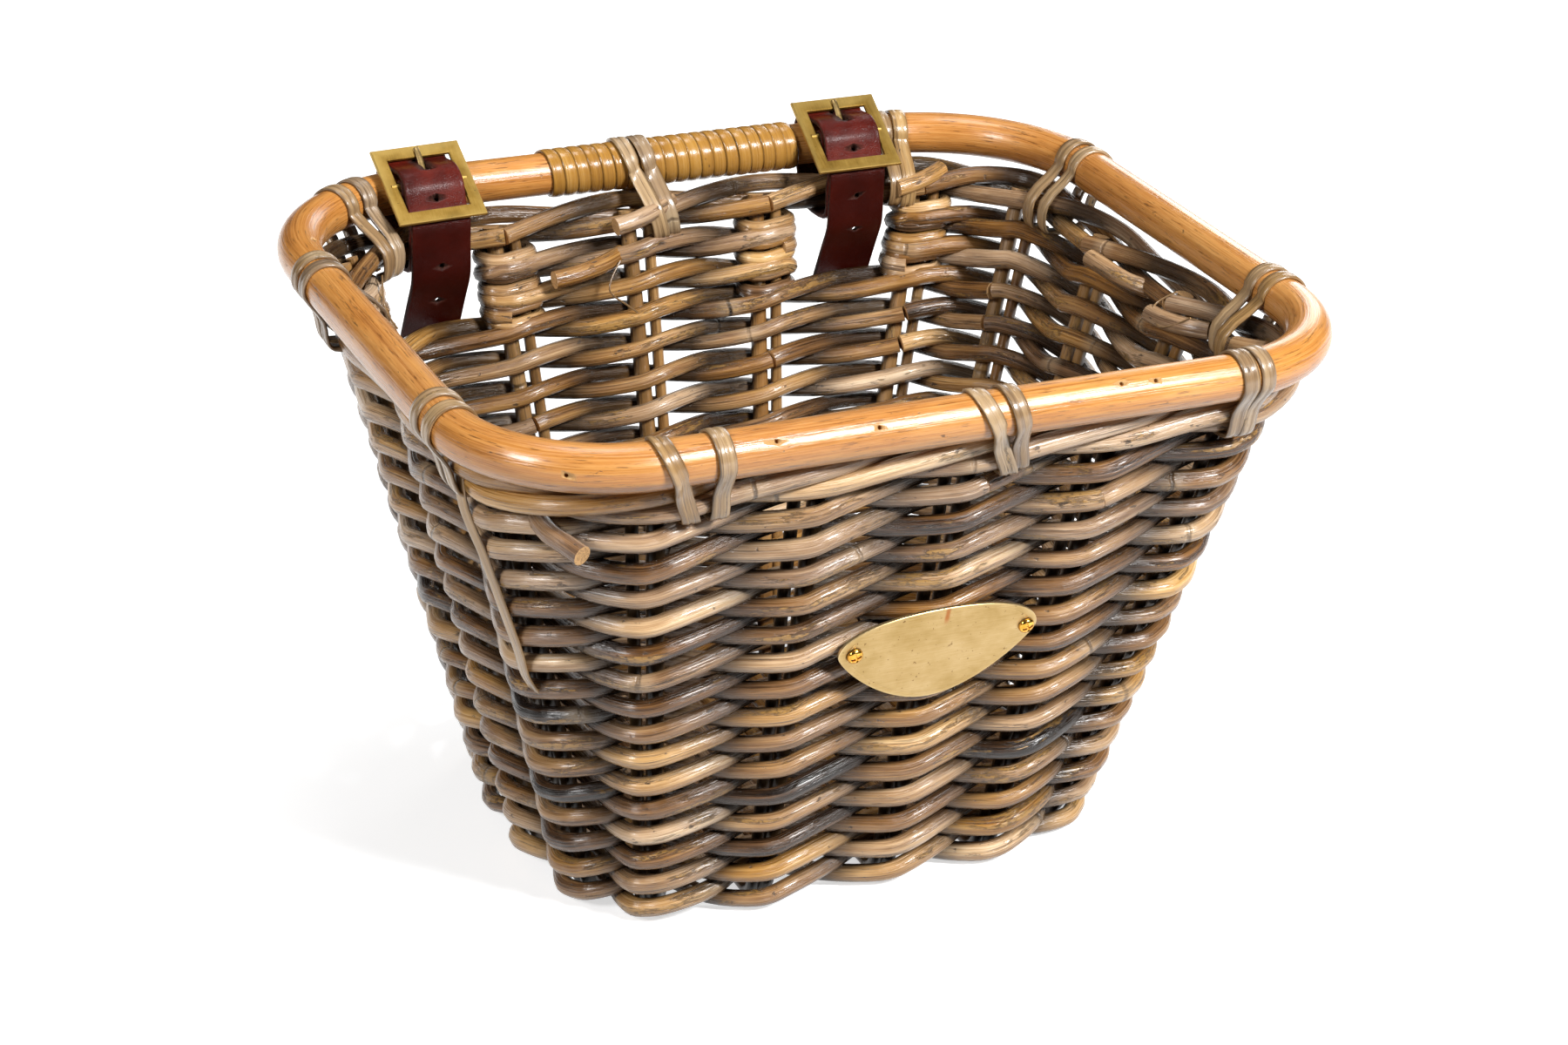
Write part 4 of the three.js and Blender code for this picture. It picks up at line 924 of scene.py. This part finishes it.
loose = {
    "stubs": [[(14.62, 187.6, 17), (14.55, 188.8, 13), (14.42, 191, 8), (14.3, 193, 2)],
              [(9.22, 204.5, -14), (9.05, 206, -13), (8.87, 208, -9.5), (8.74, 209, -4)],
              [(9.72, 186.5, -14), (9.55, 187.3, -13.2), (9.32, 188.8, -10), (9.14, 190, -4)],
              [(7.22, 205.5, -13), (7.1, 206.6, -12), (6.95, 208.5, -8.5), (6.84, 209.5, -3)],
              [(4.82, 203, -12.6), (4.66, 202.6, -11.5), (4.48, 201, -8), (4.34, 200, -2)],
              [(4.05, 199, -13), (3.9, 199.3, -12), (3.7, 200, -8), (3.58, 200, -2)],
              [(2.98, 208, -12), (2.86, 209, -10), (2.75, 210, -4)]],
    "peel": [(13.86, 203, 9.6), (13.9, 191, 12), (13.98, 172, 12.3), (14.04, 150, 12.3),
             (14.09, 132, 12.2), (14.1, 119, 11.8), (14.12, 111, 9.5)],
    "fibres": [[(3.95, 210, -9), (4.02, 203, -14), (3.84, 198, -15), (3.66, 205, -10)],
               [(9.2, 190, -12), (9.32, 180, -14.5), (9.18, 172, -13), (9.1, 168, -11)],
               [(10.9, 200, -11), (11.05, 190, -13), (10.95, 180, -12.5)]],
    "stubRadius": 3.7, "section": (5.2, 1.0, 0.3, 0.15), "fibreRadius": 0.4, "seed": 31,
}


def addLoose():
    dice = random.Random(loose["seed"])

    def line(spots, parts):
        return rounded([wallSpot(*spot) for spot in spots], parts)

    form = Form()
    for spots in loose["stubs"]:
        form.rod(line(spots, 4), loose["stubRadius"], 16, dice,
                 (dice.uniform(0.45, 0.7), dice.random()))
    form.toPiece("rod_ends", rodFinish, "basket")
    form = Form()
    peel = line(loose["peel"], 5)
    form.sweep(peel, crowned(*loose["section"]), rises=[wallFrame(14, 150)[1]] * len(peel),
               tint=(0.68, 0.65), edges=0.5)
    for spots in loose["fibres"]:
        form.rod(line(spots, 6), loose["fibreRadius"], 6, dice, (0.5, 0.4))
    form.toPiece("loose_peel", lashingFinish, "basket")


addLoose()
print("loose ends added")


# ---- rim and its winding; the pins are a share of the way round and an angle above the outside

rim = {"radius": 8.7, "sides": 40, "steps": 220, "start": 0.493, "wobble": 0.12, "seed": 2, "pin": 0.8,
       "pins": [(0.874, 5), (0.97, 35), (0.066, 45), (0.054, 50), (0.936, 40), (0.676, 120)]}


def rimSpot(share):
    point, out = planPoint(wall["height"], 0, share)
    point.z = wall["rimHeight"]
    return point, out


def addRim():
    form = Form()
    dice = random.Random(rim["seed"])
    waves = [dice.uniform(-1, 1) for _ in range(6)]
    path = []
    for i in range(rim["steps"]):
        share = rim["start"] + (i + 0.5) / rim["steps"]
        point, out = rimSpot(share)
        sway = sum(w * math.sin(2 * math.pi * (k + 2) * share + k) for k, w in enumerate(waves))
        path.append((point + out * sway * rim["wobble"]) * mm)
    form.sweep(path, circle(rim["radius"] * mm, rim["sides"]), closed=True, tint=(0.55, 0.5),
               rises=[up] * rim["steps"])
    pins = []
    for share, angle in rim["pins"]:
        point, out = rimSpot(share)
        way = out * math.cos(math.radians(angle)) + up * math.sin(math.radians(angle))
        turn = way.to_track_quat("Z", "Y").to_matrix().to_4x4()
        pins.append(cutterRod(moved(*(point + way * rim["radius"])) @ turn, rim["pin"], 5, "Z"))
    form.toPiece("rim", rimFinish, "basket", "cane_rim", cutters=pins)


winding = {"turns": 20, "pitch": 5.5, "section": (5.5, 1.25, 0.42), "middleX": 8, "steps": 28,
           "standOff": 9.55, "jitter": 0.35, "seed": 4}


def addWinding():
    form = Form()
    dice = random.Random(winding["seed"])
    total = winding["turns"] * winding["steps"]
    middle = Vector((winding["middleX"], wall["rimHalfDepth"], wall["rimHeight"])) * mm
    path, rises = [], []
    jitter = [dice.uniform(-1, 1) * winding["jitter"] for _ in range(winding["turns"] + 2)]
    for i in range(total + 1):
        turn = i / winding["steps"]
        angle, k = 2 * math.pi * turn, int(turn)
        out = Vector((0, math.cos(angle), math.sin(angle)))
        shift = jitter[k] + (jitter[k + 1] - jitter[k]) * (turn - k)
        x = (i / total - 0.5) * winding["turns"] * winding["pitch"] + shift
        path.append(middle + Vector((x, 0, 0)) * mm + out * winding["standOff"] * mm)
        rises.append(out)
    form.sweep(path, crowned(*winding["section"]), rises=rises, tint=(0.58, 0.5), edges=1.0)
    form.toPiece("rim_peel", peelFinish, "basket", "rim_winding")


addRim()
addWinding()
print("rim wound")


# ---- lashings

lashing = {"strip": 6.6, "thickness": 1.35, "crown": 0.3, "groove": 0.45, "seed": 9, "level": 205,
           "heart": 210, "near": 50, "borderGap": 0.15, "rimGap": 0.1, "windingGap": 1.7}
# column, then how far the two strips lie off it, over the rim and under the border
ties = {
    "front_middle": (0.268, (-15, -5), (-3.5, 1)), "front_right": (1.725, (4, 9.3), (6, 9.5)),
    "right_front": (3.275, (-6, 3), (-4, 4)), "right_back": (5.671, (-5, 4), (-4, 4)),
    "back_right": (7.17, (-3.6, 3), (-3, 4)), "back_middle": (8.698, (15.9, 8.8), (8.6, 3)),
    "back_left": (10.78, (-5, 4), (-4, 4)), "left_back": (11.78, (-5, 4), (-4, 4)),
    "left_front": (13.8, (-5, 5), (-4, 4)), "front_left": (15.245, (-13, 5), (-3, 7)),
}


def borderReach(middle, out, along):
    # how far the border's rods reach in, out and down beside a strip
    inner, outer, bottom = 0.0, 0.0, border["height"]
    for half in range(6 * columns):
        start, end = borderSpot(half) / mm, borderSpot(half + 1) / mm
        for part in range(8):
            point = start.lerp(end, part / 8)
            offset = point - middle
            if offset.length < lashing["near"] and abs(offset.dot(along)) <= lashing["strip"]:
                inner = min(inner, offset.dot(out))
                outer = max(outer, offset.dot(out))
                bottom = min(bottom, point.z)
    return inner, outer, bottom


def lashingOutline(inner, outer, bottom, rimReach):
    # distance outwards and height: under the border, up the outside, over the rim, down the inside
    centre, edge = (inner + outer) / 2, border["height"]
    inset, rimHeight = wall["stakeInset"], wall["rimHeight"]
    outline = [(centre + 2, bottom - 0.2), (outer - 2.2, bottom + 0.5), (outer, bottom + 3.2),
               (max(outer + 0.3, inset + 2), edge + 4)]
    for step in range(-1, 11):
        angle = math.radians(step * 18)
        outline.append((inset + rimReach * math.cos(angle), rimHeight + rimReach * math.sin(angle)))
    return outline + [(inner + 0.3, edge + 5), (inner, bottom + 3.4), (inner + 2.2, bottom + 0.6),
                      (centre - 2, bottom - 0.2)]


def addLashing(name, place, overs, unders):
    dice = random.Random(lashing["seed"] + int(place * 10))
    form = Form()
    level = lashing["level"]
    before, after = (wallFrame(math.floor(place) + k, level)[0] for k in (0, 1))
    interval = (before - after).length
    toBorder = border["radius"] + lashing["thickness"] / 2 + lashing["borderGap"]
    rimGap = lashing["windingGap" if name == "back_middle" else "rimGap"]
    for over, under in zip(overs, unders):
        lean = (over - under) / 2
        middle, out, along = wallFrame(place + (over + under) / 2 / interval, level)
        inner, outer, bottom = borderReach(middle, out, along)
        bottom -= toBorder
        outline = lashingOutline(inner - toBorder, outer + toBorder, bottom,
                                 rim["radius"] + lashing["thickness"] / 2 + rimGap)
        heart = middle + out * (wall["stakeInset"] / 2)
        heart.z = lashing["heart"]
        rise = wall["rimHeight"] - bottom
        points = []
        for outwards, height in outline:
            drift = lean * ((height - bottom) / rise * 2 - 1)
            points.append((middle + out * outwards + along * drift + up * (height - level)) * mm)
        smooth = rounded(points, 3)
        rises = [point - heart * mm for point in smooth]
        rises = [rise - along * rise.dot(along) for rise in rises]
        section = crowned(lashing["strip"] * dice.uniform(0.92, 1.05), lashing["thickness"],
                          lashing["crown"], lashing["groove"])
        form.sweep(smooth, section, rises=rises, seed=dice.uniform(0, 9), edges=0.6,
                   tint=(dice.uniform(0.5, 0.8), dice.uniform(0.1, 0.8)))
    form.toPiece(f"tie_{name}", lashingFinish, "basket", f"lashing_{name}")


for name, ends in ties.items():
    addLashing(name, *ends)
print("lashings tied")


# ---- straps, in the frame of the rim: y out of the basket, z up from the rim's centre line

strap = {
    "width": 25.4, "hole": 2.4, "parts": 4, "tipRun": 7,
    # y, z and thickness, from the free end, under and over the buckle and round the rim
    "route": [(-9.96, -63.4, 2.2), (-15.3, -51.8, 2.2), (-20.6, -40.2, 2.2), (-25.2, -30.2, 2.2),
              (-25.95, -26.0, 2.2), (-25.89, -17.27, 2.2), (-25.5, -4.09, 2.2), (-22.74, -1.87, 2.2),
              (-21.11, 2.7, 2.2), (-19.17, 7.66, 2.2), (-16.04, 10.81, 2.2), (-11.9, 12.38, 2.2),
              (-6.58, 12.15, 2.2), (-1.74, 11.77, 2.2), (1.42, 13.39, 2.2), (6.83, 10.05, 2.2),
              (10.08, 5.96, 2.2), (11.38, 0, 2.2), (10.3, -4.85, 2.2), (5.09, -17.27, 2.2),
              (5.09, -22.99, 2.2), (2.23, -25.85, 2.2), (-20.33, -25.85, 2.2), (-23.19, -22.99, 2.2),
              (-23.19, -11.55, 2.2), (-24.11, -6.24, 2.2), (-19, -2.92, 2.2), (-17.19, 3.29, 1.7),
              (-15.98, 7.46, 1.2), (-14.95, 9.13, 1.2), (-13.22, 9.45, 1.2), (-11.77, 8.45, 1.2),
              (-11.45, 6.72, 1.2), (-12.76, 5.1, 1.2)],
    # rounded edges and a line pressed along both sides: shares of the half width and half thickness
    "across": [(1.0, 0.45), (0.975, 0.9), (0.93, 1.0), (0.885, 0.86), (0.84, 1.0), (0.4, 1.03)],
    # the tail hangs straight down to here, then slants by this much, and below a height it is darkened
    # as painted shade
    "tailY": -25.89, "slantFrom": 28.7, "slant": 0.459, "tailRoute": 9, "dyedFrom": -8, "dyedRun": 10,
    "sides": {"right": {"x": 82.5, "y": 142, "turn": 0, "holes": [15.8, 31]},
              "left": {"x": -103, "y": 141.6, "turn": 3.5, "holes": [23.4, 40]}},
    "tilt": 33, "inset": 13.7, "rise": 7.2,
    # in the buckle's own frame
    "prongHole": (0, -8.7, 1.2), "slotAt": (0, 7.9, 1.2), "slotSize": (3.2, 11.0, 7.4),
    "barRoom": (3.0, 3.2),
}


def strapFrame(side):
    place = strap["sides"][side]
    return moved(place["x"], place["y"], wall["rimHeight"]) @ \
        Matrix.Rotation(math.radians(place["turn"]), 4, "Z")


def buckleFrame(side):
    return strapFrame(side) @ moved(0, -strap["inset"], strap["rise"]) @ \
        Matrix.Rotation(math.radians(strap["tilt"]), 4, "X")


def strapCutters(side):
    place, buckle = strapFrame(side), buckleFrame(side)
    cutters = []
    for drop in strap["sides"][side]["holes"]:
        y = strap["tailY"] + max(drop - strap["slantFrom"], 0) * strap["slant"]
        cutters.append(cutterRod(place @ moved(0, y, -drop), strap["hole"] / 2, 5))
    cutters.append(cutterRod(buckle @ moved(*strap["prongHole"]), strap["hole"] / 2, 5, "Z"))
    # the slot that the prong comes up through, and room for its eye round the bar
    cutters.append(cutterBox(buckle @ moved(*strap["slotAt"]), strap["slotSize"]))
    cutters.append(cutterRod(buckle, *strap["barRoom"], "X"))
    return cutters


def addStrap(side):
    place, route = strapFrame(side), strap["route"]
    path = rounded([Vector((0, y, z)) * mm for y, z, _ in route], strap["parts"])
    path = [place @ point for point in path]
    sideways = (place.to_3x3() @ Vector((1, 0, 0))).normalized()
    half = strap["width"] / 2 * mm
    edge = strap["across"]
    across = [(-x, y) for x, y in edge] + [(0, 1.04)] + edge[::-1]
    form = Form()
    along = 0.0
    for index, point in enumerate(path):
        ahead = (path[min(index + 1, len(path) - 1)] - path[max(index - 1, 0)]).normalized()
        face = ahead.cross(sideways).normalized()
        span = min(index / strap["parts"], len(route) - 1)
        low = int(span)
        thick, thickNext = (route[min(k, len(route) - 1)][2] for k in (low, low + 1))
        deep = (thick + (thickNext - thick) * (span - low)) * mm / 2
        if index:
            along += (point - path[index - 1]).length
        # the free end is rounded off
        tip = 1 - min(along / (strap["tipRun"] * mm), 1)
        reach = half * min(math.sqrt(max(0.0, 1 - tip ** 2)) * 0.35 + 0.65, 1)
        # painted shade: the hanging end darkens downwards from a height
        tailShade = min(max(strap["dyedFrom"] - route[low][1], 0) / strap["dyedRun"], 1) \
            if low < strap["tailRoute"] else 0.0
        for x, y in across:
            form.vert(point + sideways * (x * reach) - face * (y * deep), (along, x * half, y),
                      (tailShade, 0.5, 1.0 if abs(x) > 0.985 else 0.0, 0.0))
        for x, y in reversed(across):
            form.vert(point + sideways * (x * reach) + face * (min(y, 1.0) * deep * 0.98),
                      (along, x * half, -y), (tailShade, 0.5, 1.0, 0.0))
    around, total = 2 * len(across), len(form.verts)
    form.skin(0, around, len(path))
    form.face(range(around), flat=True)
    form.face(range(total - around, total)[::-1], flat=True)
    form.toPiece(f"leather_{side}", strapFinish, f"{side}_strap", f"strap_{side}",
                 cutters=strapCutters(side))


prong = {"eye": 1.5, "wire": 0.62, "width": 1.45, "thickness": 0.7, "taper": 0.22, "tipFrom": 0.93,
         "tongue": [(1.9, 0.1), (5, 0.15), (9, 0.75), (12.5, 1.45), (15.2, 1.76), (17.0, 1.66)]}


def prongSize(share):
    end = (share - prong["tipFrom"]) / 0.075
    blunt = 1 if share < prong["tipFrom"] else math.sqrt(max(1 - end ** 2, 0.05))
    return (1 - prong["taper"] * share) * blunt


def addProng(side):
    # round the centre bar, then out over the front bar
    matrix = buckleFrame(side)
    turns = matrix.to_3x3()
    form = Form()
    radius = prong["eye"] + prong["wire"]
    angles = [math.radians(-40 + 18 * i) for i in range(19)]
    spots = [Vector((0, radius * math.cos(angle), radius * math.sin(angle))) for angle in angles]
    eye = circle(prong["width"] * mm, 12, prong["wire"] * mm)
    form.sweep([matrix @ (spot * mm) for spot in spots], eye, rises=[turns @ spot for spot in spots])
    path = rounded([matrix @ (Vector((0, y, z)) * mm) for y, z in prong["tongue"]], 5)
    form.sweep(path, circle(prong["width"] * mm, 14, prong["thickness"] * mm), size=prongSize,
               rises=[turns @ up] * len(path))
    form.toPiece(f"tongue_{side}", plateFinish, f"{side}_prong", f"buckle_prong_{side}")


for side in ("right", "left"):
    addStrap(side)
    addProng(side)
    # the buckle's frame is the CAD one
    shown = scene.objects[f"buckle_frame_{side}"].data
    shown.materials.clear()
    shown.materials.append(buckleFinish.material)
print("straps buckled")


# ---- plate and screws

plate = {"x": 7.5, "height": 123.5, "half": 40.5, "rise": 15, "drop": 27, "upperTip": 9,
         "lowerTip": 4.2, "thickness": 1.2, "middle": -4, "screws": [-34.1, 36.1], "hole": 1.8,
         # a rounded edge and a line pressed inside it: shares of the outline and of the thickness
         "rings": [(1.0, 0.0), (1.0, 0.85), (0.992, 1.0), (0.93, 1.0), (0.915, 0.93), (0.9, 1.0),
                   (0.6, 1.0), (0.3, 1.0)]}
screw = {"head": 3.2, "headRise": 2.0, "shank": 1.45, "shankDrop": 4.6, "rim": 0.35, "sides": 32,
         "slot": (4.2, 0.8, 1.5), "turn": 0.35, "seat": 0.25}


def plateFrame():
    # the CAD plate gives the place of its back face
    turn = Matrix.Rotation(math.pi / 2 + math.atan(wall["flare"] / wall["height"]), 4, "X")
    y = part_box("name_plate")[1].y + (turn.to_3x3() @ Vector((0, 1, 0))).y * plate["drop"] * mm
    return Matrix.Translation(Vector((plate["x"] * mm, y, plate["height"] * mm))) @ turn


def bezier(corners, parts):
    a, b, c, d = (Vector(corner) for corner in corners)
    return [a * (1 - t) ** 3 + b * 3 * t * (1 - t) ** 2 + c * 3 * t * t * (1 - t) + d * t ** 3
            for t in (k / parts for k in range(parts))]


def ringWork(rings):
    # a bmesh through rings of spots, closed at both ends
    work = bmesh.new()
    made = [[work.verts.new(spot) for spot in ring] for ring in rings]
    count = len(made[0])
    bands = [[work.faces.new((low[i], low[(i + 1) % count], high[(i + 1) % count], high[i]))
              for i in range(count)] for low, high in zip(made, made[1:])]
    return work, made, bands


def closeEnds(work, made):
    work.faces.new(made[-1])
    work.faces.new(made[0][::-1])
    bmesh.ops.recalc_face_normals(work, faces=work.faces)


def addScrew(index, at):
    sides, head = screw["sides"], screw["head"]
    profile = [(screw["shank"], -screw["shankDrop"]), (screw["shank"], 0), (head, 0)]
    # the dome
    for k in range(7):
        angle = math.pi / 2 * k / 7
        profile.append((head * 0.98 * math.cos(angle),
                        screw["rim"] + (screw["headRise"] - screw["rim"]) * math.sin(angle)))
    rings = [[at @ (Vector((x, y, z)) * mm) for x, y in circle(radius, sides)]
             for radius, z in profile]
    work, made, bands = ringWork(rings)
    for number, band in enumerate(bands):
        for face in band:
            face.smooth = number != 1
    closeEnds(work, made)
    piece = fromWork(f"screw_{index}", work, screwFinish)
    top = at @ moved(0, 0, screw["headRise"])
    cutWith(piece, [cutterBox(top @ Matrix.Rotation(turn, 4, "Z"), screw["slot"])
                    for turn in (screw["turn"], screw["turn"] + math.pi / 2)])
    carriedBy(piece, screwFinish, "basket", f"plate_screw_{index}")


def addPlate():
    matrix = plateFrame()
    half, drop, rise = plate["half"], plate["drop"], plate["rise"]
    upper, lower = plate["upperTip"], plate["lowerTip"]
    curves = [((-half, 0), (-half, -lower), (-half * 0.5, -drop), (0, -drop)),
              ((0, -drop), (half * 0.5, -drop), (half, -lower), (half, 0)),
              ((half, 0), (half, upper), (half * 0.62, rise), (0, rise)),
              ((0, rise), (-half * 0.62, rise), (-half, upper), (-half, 0))]
    outline = [spot for curve in curves for spot in bezier(curve, 20)]
    middle = Vector((0, plate["middle"]))
    rings = []
    for shrink, level in plate["rings"]:
        spots = [middle + (spot - middle) * shrink for spot in outline]
        rings.append([matrix @ (Vector((*spot, level * plate["thickness"])) * mm) for spot in spots])
    work, made, _ = ringWork(rings)
    closeEnds(work, made)
    piece = fromWork("bare_plate", work, plateFinish)
    cutWith(piece, [cutterRod(matrix @ moved(x, 0, 0), plate["hole"], 6, "Z")
                    for x in plate["screws"]])
    carriedBy(piece, plateFinish, "basket", "name_plate")
    for index, x in enumerate(plate["screws"]):
        addScrew(index + 1, matrix @ moved(x, 0, plate["thickness"] + screw["seat"]))


addPlate()
print("plate screwed on")


# ---- camera, floor and light

view = {"position": (-0.5286, -1.1345, 0.7099), "right": (0.9121, -0.4087, 0.0316),
        "ahead": (0.3820, 0.8193, -0.4276), "lens": 80.45, "sensor": 36, "reach": 50}


def addCamera():
    data = bpy.data.cameras.new("camera")
    data.lens = view["lens"]
    data.sensor_width = view["sensor"]
    data.sensor_fit = "HORIZONTAL"
    data.clip_end = view["reach"]
    ahead = Vector(view["ahead"]).normalized()
    right = Vector(view["right"])
    right = (right - ahead * right.dot(ahead)).normalized()
    turn = Matrix((right, right.cross(ahead), -ahead)).transposed().to_4x4()
    scene.camera = placed("camera", data)
    scene.camera.matrix_world = Matrix.Translation(view["position"]) @ turn


# the colours of the floor that light bounces from and of the one that is looked at, and the glow
# near the basket, which rises to white between the two distances
floor = {"lit": "8c8a88", "seen": "d8d8d8", "glow": 0.62, "from": 0.4, "to": 1.1, "size": 6.0}


def addFloor():
    finish = Finish("paleFloor", None, {"Roughness": 0.9, "Specular IOR Level": 0.0,
                                        "Emission Strength": 1.0})
    rays = finish.add("ShaderNodeLightPath")
    mirrored = rays.maths("MAXIMUM", rays["Is Glossy Ray"], rays["Is Transmission Ray"])
    seen = rays.maths("MAXIMUM", rays["Is Camera Ray"], mirrored)
    finish.feed("Base Color", finish.blend(seen, colour(floor["lit"]), colour(floor["seen"])))
    where = finish.add("ShaderNodeTexCoord")["Object"]
    where = finish.add("ShaderNodeSeparateXYZ", {}, {"Vector": where})
    away = (where["X"] * where["X"] + where["Y"] * where["Y"]) ** 0.5
    away = finish.limits(away, floor["from"], floor["to"])
    glow = finish.blend(away, (*[floor["glow"]] * 3, 1), (1, 1, 1, 1))
    finish.feed("Emission Color", finish.blend(seen, (0, 0, 0, 1), glow))
    mesh = bpy.data.meshes.new("floor")
    size = floor["size"]
    mesh.from_pydata([(-size, -size, 0), (size, -size, 0), (size, size, 0), (-size, size, 0)], [],
                     [(0, 1, 2, 3)])
    placed("floor", mesh, finish)


# place, size and watts; each lamp is aimed at a height over the middle of the basket
lamps = {"keyLamp": ((0.75, -1.45, 1.5), (0.5, 0.36), 70, 0.12),
         "sideLamp": ((-1.7, -0.6, 1.25), (0.5, 0.5), 26, 0.12),
         "topLamp": ((0.1, 0.5, 1.9), (0.6, 0.6), 9, 0.15),
         "backLamp": ((1.5, 1.6, 0.8), (0.8, 0.8), 9, 0.1)}


def addLamp(name, place, size, watts, aim):
    data = bpy.data.lights.new(name, "AREA")
    data.shape = "RECTANGLE"
    data.size, data.size_y = size
    data.energy = watts
    lamp = placed(name, data)
    lamp.location = place
    lamp.rotation_euler = (up * aim - Vector(place)).to_track_quat("-Z", "Y").to_euler()


def addWorld():
    # white to the camera, faint to everything else
    world = bpy.data.worlds.new("studio")
    scene.world = world
    world.use_nodes = True
    kit = Kit(world.node_tree)
    kit.tree.nodes.clear()
    soft, white = (kit.add("ShaderNodeBackground", {}, {"Color": (1, 1, 1, 1), "Strength": strength})
                   for strength in (0.05, 1.0))
    mixed = kit.add("ShaderNodeMixShader", {}, {
        "Fac": kit.add("ShaderNodeLightPath")["Is Camera Ray"], 1: soft, 2: white})
    kit.put(kit.tree.nodes.new("ShaderNodeOutputWorld").inputs["Surface"], mixed)


addCamera()
addFloor()
addWorld()
for name, lamp in lamps.items():
    addLamp(name, *lamp)
scene.view_settings.view_transform = "Standard"
print("camera and light set")
